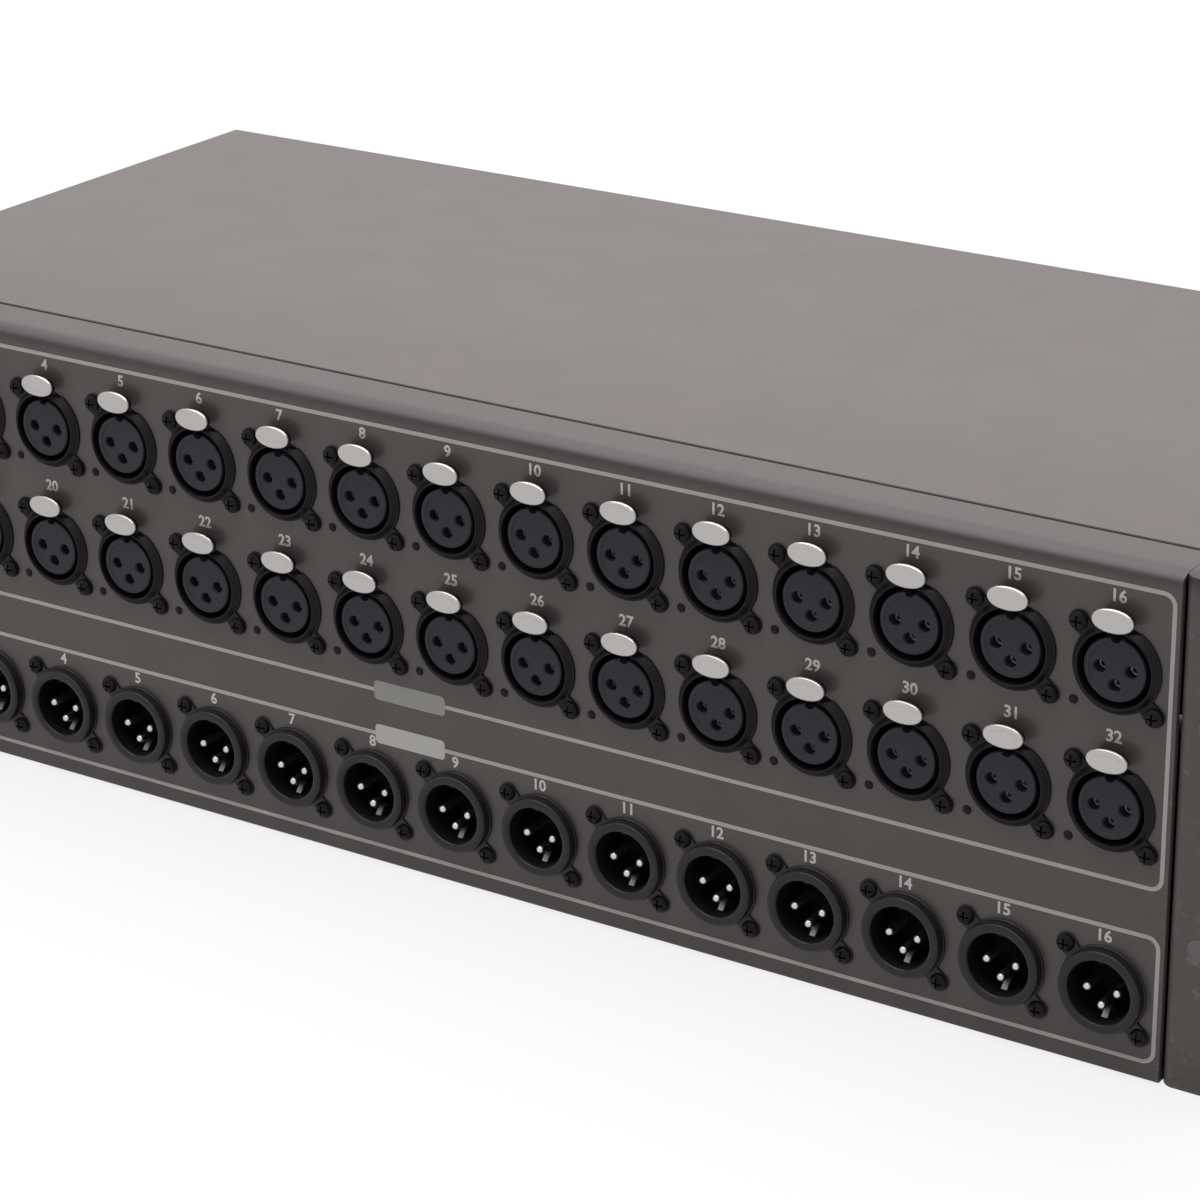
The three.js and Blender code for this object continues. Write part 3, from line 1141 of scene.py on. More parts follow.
PRINT_PALE = Finish("print_pale", (0.72, 0.71, 0.69), roughness=0.5, grain=0.3, relief=0.004)
LABEL_GREY = Finish(
    "label_grey", (0.35, 0.345, 0.335), roughness=0.5, grain=0.4, relief=0.004
)
LABEL_PALE = Finish(
    "label_pale", (0.58, 0.57, 0.56), roughness=0.5, variation=0.1, grain=0.4, relief=0.004
)


# The frame's places


@dataclass(frozen=True)
class Layout:
    """Places that every piece shares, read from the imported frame, in millimetres."""

    half_width: float
    height: float
    front: float
    flange_front: float
    cup_front: float
    columns: np.ndarray
    upper: float
    lower: float
    output: float

    @staticmethod
    def corners(node: str) -> tuple[np.ndarray, np.ndarray]:
        """A node's lowest and highest corner."""
        low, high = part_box(node)
        return np.array(low) / MM, np.array(high) / MM

    @staticmethod
    def middle(node: str) -> np.ndarray:
        """The middle of a node's box."""
        low, high = Layout.corners(node)
        return (low + high) / 2

    @staticmethod
    def from_frame(frame: dict) -> "Layout":
        """Reads the places from the frame's nodes.

        Args:
            frame: the frame, as loaded.

        Returns:
            The places, with a column for each latch of one row.
        """
        panel_low, panel_high = Layout.corners("front_panel")
        count = sum(name.startswith("latch_") for name in frame["nodes"]) // 2
        columns = [Layout.middle(f"latch_{i + 1:02d}")[0] for i in range(count)]
        return Layout(
            half_width=float(panel_high[0]),
            height=float(panel_high[2]),
            front=float(panel_low[1]),
            flange_front=float(Layout.corners("upper_input_housings")[0][1]),
            cup_front=float(Layout.corners("output_housings")[0][1]),
            columns=np.array(columns),
            upper=float(Layout.middle("upper_insert_board")[2]),
            lower=float(Layout.middle("lower_insert_board")[2]),
            output=float(Layout.middle("output_pin_board")[2]),
        )

    def row(self, z: float, y: float = 0.0) -> np.ndarray:
        """The places of a row of connectors, one for each column."""
        return np.array([(x, y, z) for x in self.columns])


# Pieces


@dataclass
class FrontPanel:
    """The folded front sheet with its round holes, and what is printed on it."""

    layout: Layout
    bench: Bench
    thickness: float = 2.0
    inner_bend: float = 1.2
    # Each bend's reach before and after its corner
    top_bend: Pair = (5.0, 2.4)
    bottom_bend: Pair = (0.9, 0.9)
    hole_radius: float = 11.35
    hole_sides: int = 40
    edge: float = 0.35
    seam_edge: float = 0.7
    ink: float = 0.05
    line_width: float = 1.1
    line_inset: float = 1.7
    frame_corner: float = 3.0
    corner_steps: int = 6
    # The heights of each frame's lower and upper line
    input_frame: Pair = (51.4, 127.1)
    output_frame: Pair = (5.1, 38.6)
    digit_height: float = 3.2
    input_number_rise: float = 18.2
    output_number_rise: float = 14.4
    # Each label's middle and width
    input_label: Pair = (-0.9, 23.4)
    output_label: Pair = (-1.1, 23.0)
    label_height: float = 5.6
    label_corner: float = 1.232
    label_steps: int = 5
    label_ink: float = 0.08

    def sheet(self) -> Surface:
        """The panel.

        Returns:
            A folded sheet with softened edges, less one round hole for each connector.
        """
        place = self.layout
        seam = Layout.corners("front_panel")[1][1]
        path = [
            (seam, place.height),
            (place.front, place.height),
            (place.front, 0.0),
            (seam, 0.0),
        ]
        fold = Fold(self.thickness, self.inner_bend, (self.top_bend, self.bottom_bend))
        sheet = fold.sheet(path, Axis.X, -place.half_width, place.half_width)
        hole = prism(
            disc_loop(0.0, 0.0, self.hole_radius, self.hole_sides),
            Axis.Y,
            place.front - self.thickness,
            place.front + 2 * self.thickness,
        )
        rows = [place.row(z) for z in (place.upper, place.lower, place.output)]
        sheet = self.bench.softened(sheet, self.seam_edge, level=(Axis.Y, seam))
        sheet = self.bench.softened(sheet, self.edge)
        return self.bench.cut(sheet, hole.repeated(np.concatenate(rows)))

    def band(self, reach: float, levels: Pair) -> Surface:
        """A printed frame.

        Args:
            reach: how far it goes to each side.
            levels: the heights of its lower and upper line.

        Returns:
            A rounded rectangle's line, a ring of four loops whose front is proud by the ink.
        """
        half = self.line_width / 2
        loops = [
            rounded_loop(
                (-reach - side * half, reach + side * half),
                (levels[0] - side * half, levels[1] + side * half),
                self.frame_corner + side * half,
                self.corner_steps,
            )
            for side in (1, -1)
        ]
        front, back = self.layout.front - self.ink, self.layout.front
        rings = [(loops[0], back), (loops[0], front), (loops[1], front), (loops[1], back)]
        points = np.stack([np.insert(loop, 1, y, axis=1) for loop, y in rings])
        return grid(points, closed_rows=True, closed_columns=True)

    def field(self, place: Pair, level: float) -> Surface:
        """A plain printed field.

        Args:
            place: its middle and its width.
            level: the height of its middle.

        Returns:
            A thin plate with round corners.
        """
        (x, width), height = place, self.label_height
        sides, ends = (x - width / 2, x + width / 2), (level - height / 2, level + height / 2)
        loop = rounded_loop(sides, ends, self.label_corner, self.label_steps)
        return prism(loop, Axis.Y, self.layout.front - self.label_ink, self.layout.front)

    def numbers(self) -> Surface:
        """The column numbers.

        Returns:
            1 to 32 over the inputs and 1 to 16 over the outputs, as one surface.
        """
        place = self.layout
        rows = [
            (place.upper + self.input_number_rise, 1),
            (place.lower + self.input_number_rise, 1 + len(place.columns)),
            (place.output + self.output_number_rise, 1),
        ]
        return joined(
            self.bench.lettering(str(first + i), self.digit_height, self.ink).moved(
                x, place.front, z
            )
            for z, first in rows
            for i, x in enumerate(place.columns)
        )

    def build(self) -> None:
        """Makes the panel and its print."""
        piece, reach = self.bench.piece, self.layout.half_width - self.line_inset
        sheet = self.sheet()
        piece("front_sheet", sheet, [CASE_COAT], replaces=["front_panel"], slot="case_paint")
        frames = [self.band(reach, levels) for levels in (self.input_frame, self.output_frame)]
        piece("printed_frames", joined(frames), [PRINT_GREY])
        piece("printed_numbers", self.numbers(), [PRINT_PALE])
        piece("input_label_field", self.field(self.input_label, self.input_frame[0]), [LABEL_GREY])
        output_field = self.field(self.output_label, self.output_frame[1])
        piece("output_label_field", output_field, [LABEL_PALE])


@dataclass
class Enclosure:
    """The cover, base, rear panel and ears."""

    layout: Layout
    bench: Bench
    thickness: float = 1.5
    inner_bend: float = 1.2
    edge: float = 0.3
    seam_edge: float = 0.7
    screw_hole: float = 2.2
    screw_hole_sides: int = 24
    multipin_hole: float = 28.3
    multipin_hole_sides: int = 64
    ear_thickness: float = 2.5
    # A slot's length and width, the spacing of the two, and how far they lie in from the edge
    ear_slot: Pair = (10.3, 6.8)
    ear_slot_spacing: float = 57.15
    ear_slot_inset: float = 8.75
    ear_slot_steps: int = 12

    def folded(self, path: list[Pair], axis: Axis, low: float, high: float, edge: float) -> Surface:
        """A folded sheet of the case with soft edges."""
        sheet = Fold(self.thickness, self.inner_bend).sheet(path, axis, low, high)
        return self.bench.softened(sheet, edge)

    def screw_holes(self) -> Surface:
        """Cutters for the cover screws.

        Returns:
            A round bar through both sides for each pair of screws.
        """
        cutters = []
        for index in COVER_SCREWS:
            low, high = Layout.corners(f"cover_screw_right_{index}")
            y, z = (low + high)[1:] / 2
            loop = disc_loop(y, z, self.screw_hole, self.screw_hole_sides)
            cutters.append(prism(loop, Axis.X, -high[0], high[0]))
        return joined(cutters)

    def cover(self) -> Surface:
        """The cover.

        Returns:
            The top and both sides in one sheet, with screw holes.
        """
        low, high = Layout.corners("top_cover")
        half = high[0]
        path = [(half, low[2]), (half, high[2]), (-half, high[2]), (-half, low[2])]
        sheet = self.folded(path, Axis.Y, low[1], high[1], self.seam_edge)
        return self.bench.cut(sheet, self.screw_holes())

    def base(self) -> Surface:
        """The base.

        Returns:
            The floor with a flange on each side, with screw holes.
        """
        low, high = Layout.corners("base_pan")
        half = high[0]
        path = [(-half, high[2]), (-half, low[2]), (half, low[2]), (half, high[2])]
        sheet = self.folded(path, Axis.Y, low[1], high[1], self.edge)
        return self.bench.cut(sheet, self.screw_holes())

    def rear(self) -> Surface:
        """The rear panel.

        Returns:
            A sheet with a flange at each end and two round holes for the multipins.
        """
        low, high = Layout.corners("rear_panel")
        half = high[0]
        path = [(half, low[1]), (half, high[1]), (-half, high[1]), (-half, low[1])]
        sheet = self.folded(path, Axis.Z, low[2], high[2], self.edge)
        holes = []
        for use in ("input", "output"):
            x, _, z = Layout.middle(f"{use}_multipin_shell")
            loop = disc_loop(x, z, self.multipin_hole, self.multipin_hole_sides)
            start = high[1] - 2 * self.thickness
            holes.append(prism(loop, Axis.Y, start, high[1] + OVERRUN))
        return self.bench.cut(sheet, joined(holes))

    def ear(self, side: int) -> Surface:
        """A rack ear.

        Args:
            side: 1 for the right and -1 for the left.

        Returns:
            A leg on the case's side and a face with two slots.
        """
        low, high = Layout.corners("rack_ear_right")
        place = self.layout
        path = [(place.half_width, high[1]), (place.half_width, low[1]), (high[0], low[1])]
        fold = Fold(self.ear_thickness, self.inner_bend)
        sheet = fold.sheet(path, Axis.Z, low[2], high[2])
        x, back = high[0] - self.ear_slot_inset, low[1] + self.ear_thickness
        slots = []
        for up in (-1, 1):
            z = place.height / 2 + up * self.ear_slot_spacing / 2
            loop = slot_loop(x, z, *self.ear_slot, self.ear_slot_steps)
            slots.append(prism(loop, Axis.Y, low[1] - OVERRUN, back + OVERRUN))
        ear = self.bench.softened(self.bench.cut(sheet, joined(slots)), self.edge)
        return ear if side > 0 else ear.turned((0, 1, 2), (-1, 1, 1))

    def build(self) -> None:
        """Makes the case's shells."""
        shells = {
            "cover_shell": (self.cover(), "top_cover"),
            "base_shell": (self.base(), "base_pan"),
            "rear_sheet": (self.rear(), "rear_panel"),
            "right_ear": (self.ear(1), "rack_ear_right"),
            "left_ear": (self.ear(-1), "rack_ear_left"),
        }
        for name, (surface, node) in shells.items():
            self.bench.piece(name, surface, [CASE_COAT], replaces=[node], slot="case_paint")


@dataclass(frozen=True)
class Screw:
    """A domed screw head with a cross recess, its face towards -Y and its seat at y = 0."""

    radius: float
    height: float
    sides: int = 20
    rim_share: float = 0.35
    dome_steps: int = 5
    recess_share: float = 0.62
    slot_share: float = 0.2
    floor_share: float = 0.3

    def surface(self, bench: Bench) -> Surface:
        """The head.

        Args:
            bench: where the recess is cut.

        Returns:
            A spherical cap on a short rim, less two crossed slots.
        """
        drop = self.height * (1 - self.rim_share)
        sphere = (self.radius**2 + drop**2) / (2 * drop)
        spread = math.degrees(math.asin(self.radius / sphere))
        cap = arc((0.0, sphere - self.height), sphere, -90, spread - 90, self.dome_steps)
        head = lathe([*cap, (self.radius, 0.0), (0.0, 0.0)], self.sides)
        long, wide = self.radius * self.recess_share, self.radius * self.slot_share / 2
        start, floor = -2 * self.height, -self.height * self.floor_share
        for x, z in ((long, wide), (wide, long)):
            head = bench.cut(head, box((-x, start, -z), (x, floor, z)))
        return head


class BodyPart(Enum):
    """The parts of a connector body, as finish indexes."""

    COLLAR = 0
    PLATE = 1
    BORE = 2


@dataclass
class ConnectorShape:
    """What sockets and plugs share: a collar on a round plate with two screw lugs."""

    layout: Layout
    plate_radius: float = 11.6
    plate_thickness: float = 0.6
    # The plate's soft edge: insets from its outline and drops from its face
    plate_edge: tuple[Pair, ...] = ((0.3, 0.0), (0.1, 0.06), (0.0, 0.2))
    lug_offset: float = 10.2
    lug_radius: float = 2.6
    # Degrees from a lug's middle at which the outline has a corner
    lug_steps: tuple[float, ...] = (0.0, 2.0, 4.0, 6.0, 8.0, 9.3, 10.1, 11.2)
    sides: int = 60
    rim_steps: int = 4
    rim_end: float = 345.0
    contact_circle: float = 4.1

    def contacts(self, row: np.ndarray) -> np.ndarray:
        """The places of three contacts in each connector of a row.

        Args:
            row: the connectors' places.

        Returns:
            Every place plus left, right and below by the contacts' circle.
        """
        reach = self.contact_circle
        around = np.array([(-reach, 0.0, 0.0), (reach, 0.0, 0.0), (0.0, 0.0, -reach)])
        return (row[:, None] + around[None]).reshape(-1, 3)

    def angles(self) -> np.ndarray:
        """The angles of a body's corners.

        Returns:
            Equal steps round, with finer ones at the lugs.
        """
        half = np.array(self.lug_steps)
        lug = np.radians(-45 + np.concatenate([-half, half]))
        around = np.concatenate([round_angles(self.sides), lug, lug + math.pi])
        return np.unique(np.round(np.mod(around, 2 * math.pi), 6))

    def outline(self, angles: np.ndarray) -> np.ndarray:
        """The plate's radius at each angle.

        Args:
            angles: the angles round the connector.

        Returns:
            The plate's radius, and within a lug's width its circle: for d, the angle from the
            lug's middle, D cos d + sqrt(r^2 - D^2 sin^2 d).
        """
        reach = self.lug_offset * math.sqrt(2)
        away = np.abs(np.mod(angles + math.pi / 4 + math.pi / 2, math.pi) - math.pi / 2)
        inside = np.maximum(self.lug_radius**2 - (reach * np.sin(away)) ** 2, 0.0)
        tip = reach * np.cos(away) + np.sqrt(inside)
        return np.where(away < math.asin(self.lug_radius / reach), tip, self.plate_radius)

    def body(
        self,
        front: float,
        bore: float,
        sleeve: float,
        depth: float,
        ring: float,
        rim: float,
        slope: float,
    ) -> Surface:
        """A connector body, its collar's front at y = 0.

        Args:
            front: where that front stands in the frame.
            bore: the bore's radius.
            sleeve: the outer radius behind the panel.
            depth: how far it reaches back.
            ring: the collar's outer radius at its front.
            rim: the fillet of the collar's edges.
            slope: how far the collar widens down to the plate.

        Returns:
            A closed surface of rings: up the bore, over the collar, out over the plate and lugs,
            and back along the sleeve, with a finish index for each part.
        """
        angles = self.angles()
        outline = self.outline(angles)
        panel = self.layout.front - front
        high = panel - self.plate_thickness
        inner = arc((bore + rim, rim), rim, 180, 270, self.rim_steps)
        outer = arc((ring - rim, rim), rim, 270, self.rim_end, self.rim_steps)
        collar = [(bore, depth), *inner, *outer, (ring + slope, high)]
        plate = [(outline - inset, high + drop) for inset, drop in self.plate_edge]
        rings = [*collar, *plate, (outline, panel), (sleeve, panel), (sleeve, depth)]
        radii = np.stack([np.broadcast_to(radius, len(angles)) for radius, _ in rings])
        depths = np.array([y for _, y in rings])
        face = len(inner) + len(outer)
        parts = [BodyPart.BORE] + [BodyPart.COLLAR] * (face - 1)
        parts += [BodyPart.PLATE] * (len(rings) - face)
        return ringed(radii, depths, angles, closed=True).banded([part.value for part in parts])


@dataclass
class InputSockets:
    """The input rows: socket bodies, inserts with three contacts, and push latches."""

    layout: Layout
    bench: Bench
    shape: ConnectorShape
    bore: float = 9.6
    sleeve: float = 11.2
    depth: float = 16.0
    ring: float = 10.15
    rim: float = 0.25
    slope: float = 1.0
    insert_radius: float = 8.1
    insert_recess: float = 0.5
    insert_edge: float = 0.45
    insert_steps: int = 4
    insert_sides: int = 48
    # How far the dish's floor and rim lie in from the insert's edge, and its depth
    dish: Triple = (1.5, 1.2, 0.25)
    hole_radius: float = 1.55
    hole_depth: float = 8.0
    hole_sides: int = 18
    # How much wider than the hole it is, and where its cone starts and ends
    countersink: Triple = (0.3, 0.26, 0.65)
    key_slot: Pair = (2.8, 2.6)
    key_steps: int = 6
    key_depth: float = 6.0
    # The tube's inner and outer radius and its mouth's place, then its flare and its soft edge
    tube: Triple = (0.95, 1.4, 3.4)
    tube_mouth: Pair = (0.2, 0.3)
    tube_edge: Pair = (0.1, 0.15)
    tube_sides: int = 12
    # The latch's tab: its width and height, and the height of its middle in the socket
    tab: Pair = (11.0, 6.1)
    tab_rise: float = 13.0
    tab_proud: float = 2.2
    tab_sides: int = 40
    tab_squareness: float = 0.025
    # The cap's rings from its middle out: shares of the half height, then insets, with depths
    cap_dish: tuple[Pair, ...] = ((1.0, 0.34), (0.72, 0.31), (0.5, 0.22))
    cap_edge: tuple[Pair, ...] = (
        (1.25, 0.05),
        (0.9, 0.0),
        (0.55, 0.03),
        (0.26, 0.16),
        (0.08, 0.36),
        (0.0, 0.6),
    )
    cap_thickness: float = 0.9
    pusher_inset: float = 0.3
    pusher_edge: float = 0.1
    travel: float = 1.7
    gap: float = 0.3
    stem_width: float = 3.8
    stem_levels: Pair = (9.9, 11.1)
    stem_edge: float = 0.12
    # Where the hook starts and ends, and the height of its tip
    hook: Triple = (9.0, 12.0, 8.7)
    # The rivet's place beside the socket, its radius and height, and its dome's angle
    rivet_place: Pair = (-11.0, -10.3)
    rivet: Pair = (1.25, 0.5)
    rivet_turn: float = 1.57
    rivet_corners: int = 6
    rivet_sides: int = 16

    def body(self) -> Surface:
        """A socket body.

        Returns:
            The body less a notch for its latch's tab and a slot for the stem.
        """
        front = self.layout.flange_front
        shape = (self.bore, self.sleeve, self.depth, self.ring, self.rim, self.slope)
        whole = self.shape.body(front, *shape)
        half, panel = self.tab[0] / 2 + self.gap, self.layout.front - front
        floor = self.tab_rise - self.tab[1] / 2 - self.gap
        notch = box((-half, -OVERRUN, floor), (half, panel, self.tab_rise + self.tab[1]))
        stem = self.stem_width / 2 + self.gap
        slot_end = self.hook[1] + self.travel + self.gap
        slot = box((-stem, -OVERRUN, self.insert_radius), (stem, slot_end, self.tab_rise))
        return self.bench.cut(self.bench.cut(whole, notch), slot)

    def insert(self) -> Surface:
        """An insert.

        Returns:
            A shallow dish inside a rim, less countersunk holes and a key notch.
        """
        radius, face, edge = self.insert_radius, self.insert_recess, self.insert_edge
        inner, outer, sunk = self.dish
        profile = [(0.0, face + sunk), (radius - inner, face + sunk), (radius - outer, face)]
        profile += arc((radius - edge, face + edge), edge, 270, 360, self.insert_steps)
        profile += [(radius, self.depth), (0.0, self.depth)]
        whole = lathe(profile, self.insert_sides)
        hole, (wider, start, end) = self.hole_radius, self.countersink
        profile = [(0.0, -OVERRUN), (hole + wider, -OVERRUN), (hole + wider, face + start)]
        profile += [(hole, face + end), (hole, self.hole_depth), (0.0, self.hole_depth)]
        drill = lathe(profile, self.hole_sides)
        for place in self.shape.contacts(np.zeros((1, 3))):
            whole = self.bench.cut(whole, drill.moved(*place))
        notch = slot_loop(0.0, radius, *self.key_slot, self.key_steps)
        return self.bench.cut(whole, prism(notch, Axis.Y, -OVERRUN, self.key_depth))

    def contact_tube(self) -> Surface:
        """The sprung tube inside a contact hole.

        Returns:
            A turned tube with a flared mouth and a soft outer edge.
        """
        inner, outer, front = self.tube
        flare, mouth = self.tube_mouth
        across, along = self.tube_edge
        profile = [(inner, self.hole_depth), (inner, front + mouth), (inner + flare, front)]
        profile += [(outer - across, front), (outer, front + along), (outer, self.hole_depth)]
        return lathe(profile, self.tube_sides, closed=True)

    def oval(self, inset: float, y: float) -> np.ndarray:
        """A ring of the tab.

        Args:
            inset: how far it lies inside the tab's edge.
            y: its depth.

        Returns:
            An ellipse's points times 1 + q sin^2 2a, which makes it slightly squarer.
        """
        angle = round_angles(self.tab_sides)
        shape = 1 + self.tab_squareness * np.sin(2 * angle) ** 2
        across = (self.tab[0] / 2 - inset) * np.cos(angle) * shape
        up = (self.tab[1] / 2 - inset) * np.sin(angle) * shape
        return np.stack([across, np.full(self.tab_sides, y), self.tab_rise + up], axis=1)

    def stacked(self, rows: Sequence[Pair]) -> Surface:
        """Rings of the tab, each with its inset and depth, as one surface."""
        return grid(np.stack([self.oval(*row) for row in rows]), closed_columns=True)

    def latch(self) -> Surface:
        """A latch.

        Returns:
            A dished silver cap, a black pusher under it, and a stem with a hook.
        """
        front, middle, inset = -self.tab_proud, self.tab[1] / 2, self.pusher_inset
        seat, edge = front + self.cap_thickness, self.pusher_edge
        rows = [(middle * share, front + sunk) for share, sunk in self.cap_dish]
        rows += [(inward, front + sunk) for inward, sunk in self.cap_edge]
        cap = self.stacked([*rows, (0.0, seat), (middle, seat)])
        rows = [(middle, seat), (inset, seat), (inset, -edge), (inset + edge, 0.0), (middle, 0.0)]
        pusher = self.stacked(rows).finished(1)
        low, high = self.stem_levels
        start, end, tip = self.hook
        side = [(front / 2, high), (front / 2, low), (start, low), (start, tip)]
        side += [(end, low), (end, high)]
        stem = prism(np.array(side), Axis.X, -self.stem_width / 2, self.stem_width / 2)
        return joined([cap, pusher, self.bench.softened(stem, self.stem_edge, 1)])

    def rivet_head(self) -> Surface:
        """A low rivet head.

        Returns:
            A dome (r sin a, -h cos a), with a from 0 to almost a quarter turn, on a flat back.
        """
        radius, height = self.rivet
        angles = np.linspace(0.0, self.rivet_turn, self.rivet_corners)
        dome = [(radius * math.sin(angle), -height * math.cos(angle)) for angle in angles]
        return lathe([*dome, (0.0, 0.0)], self.rivet_sides)

    def build(self) -> None:
        """Makes both rows."""
        place, piece = self.layout, self.bench.piece
        body, insert, tube = self.body(), self.insert(), self.contact_tube()
        latch, rivet = self.latch(), self.rivet_head()
        front = place.flange_front
        for row, z in (("upper", place.upper), ("lower", place.lower)):
            spots = place.row(z, front)
            piece(
                f"{row}_sockets",
                body.repeated(spots),
                [SOCKET_BLACK, SOCKET_BLACK, BORE_BLACK],
                replaces=[f"{row}_input_housings"],
                slot="connector_black",
            )
            piece(
                f"{row}_inserts",
                insert.repeated(spots),
                [INSERT_PLASTIC],
                replaces=[f"{row}_insert_board"],
                slot="insert_grey",
            )
            tubes = tube.repeated(self.shape.contacts(spots))
            piece(f"{row}_contacts", tubes, [CONTACT_PLATING], slot="contact_silver")
            low, high = Layout.corners(f"{row}_insert_board")
            board = box((low[0], front + self.depth, low[2]), high)
            piece(f"{row}_board", board, [BOARD_GREEN])
            x, rise = self.rivet_place
            rivets = rivet.repeated(place.row(z + rise, place.front) + (x, 0.0, 0.0))
            piece(f"{row}_ground_rivets", rivets, [SCREW_PLATING])
        rows = np.concatenate([place.row(z, front) for z in (place.upper, place.lower)])
        for index, spot in enumerate(rows):
            name = f"latch_{index + 1:02d}"
            piece(
                f"{name}_button",
                latch.moved(*spot),
                [LATCH_PLATING, SOCKET_BLACK],
                body=name,
                replaces=[name],
                slot="latch_nickel",
            )


@dataclass
class OutputPlugs:
    """The output row: cups with three pins each."""

    layout: Layout
    bench: Bench
    shape: ConnectorShape
    cup: float = 8.4
    wall: float = 1.9
    depth: float = 14.1
    ring: float = 11.1
    rim: float = 0.9
    slope: float = 0.05
    pin_radius: float = 1.2
    pin_recess: float = 1.6
    pin_root: float = 0.3
    pin_steps: int = 5
    pin_sides: int = 18
    spring_width: float = 1.6
    spring_gap: float = 0.15
    spring_rise: float = 2.2
    spring_start: float = 4.4
    spring_length: float = 6.0
    spring_root: float = 0.3
    spring_points: int = 9
    floor_thickness: float = 1.0
    floor_sides: int = 40
    # A collar's inner radius, and its outer radius at the top and at the foot
    pin_collar: Triple = (1.25, 1.8, 2.1)
    pin_collar_height: float = 0.7
    rib_width: float = 1.6
    rib_start: float = 1.2
    rib_levels: Pair = (-0.75, 0.2)

    def pin(self) -> Surface:
        """A pin.

        Returns:
            A round bar with a domed tip.
        """
        radius, root = self.pin_radius, self.depth + self.pin_root
        profile = arc((0.0, self.pin_recess + radius), radius, -90, 0, self.pin_steps)
        return lathe([*profile, (radius, root), (0.0, root)], self.pin_sides)

    def spring(self) -> Surface:
        """The grounding spring.

        Returns:
            A strip along the bottom of the cup's wall, bowed up by h sin pi t.
        """
        low, start, end = self.spring_gap - self.cup, self.spring_start, self.spring_length
        share = np.linspace(0.0, 1.0, self.spring_points)
        bow = low + self.spring_rise * np.sin(math.pi * share)
        root = [(start + end, low - self.spring_root), (start, low - self.spring_root)]
        loop = np.concatenate([np.stack([start + end * share, bow], axis=1), root])
        return prism(loop, Axis.X, -self.spring_width / 2, self.spring_width / 2)

    def floor(self) -> Surface:
        """The cup's floor.

        Returns:
            A disc with a low collar round each pin, and a key rib along the top of the cup.
        """
        start, back = self.depth, self.depth + self.floor_thickness
        profile = [(0.0, start), (self.cup, start), (self.cup, back), (0.0, back)]
        disc = lathe(profile, self.floor_sides)
        inner, outer, foot = self.pin_collar
        top = start - self.pin_collar_height
        profile = [(inner, start), (inner, top), (outer, top), (foot, start)]
        collar = lathe(profile, self.pin_sides, closed=True)
        collars = collar.repeated(self.shape.contacts(np.zeros((1, 3))))
        half = self.rib_width / 2
        low, high = (self.cup + level for level in self.rib_levels)
        return joined([disc, collars, box((-half, self.rib_start, low), (half, start, high))])

    def build(self) -> None:
        """Makes the row."""
        place, piece = self.layout, self.bench.piece
        front = place.cup_front
        spots = place.row(place.output, front)
        sleeve = self.cup + self.wall
        shape = (self.cup, sleeve, self.depth, self.ring, self.rim, self.slope)
        piece(
            "output_plugs",
            self.shape.body(front, *shape).repeated(spots),
            [PLUG_GREY, PLUG_GREY, BORE_BLACK],
            replaces=["output_housings"],
            slot="connector_black",
        )
        piece("output_cup_floors", self.floor().repeated(spots), [BORE_BLACK])
        piece(
            "output_pins",
            self.pin().repeated(self.shape.contacts(spots)),
            [CONTACT_PLATING],
            replaces=["output_pin_board"],
            slot="contact_silver",
        )
        springs = self.spring().repeated(spots)
        piece("output_ground_springs", springs, [SPRING_PLATING], slot="contact_silver")
        low, high = Layout.corners("output_pin_board")
        board = box((low[0], front + self.depth + self.floor_thickness, low[2]), high)
        piece("output_board", board, [BOARD_GREEN])


PANEL_SCREW = Screw(3.0, 1.7, 24)


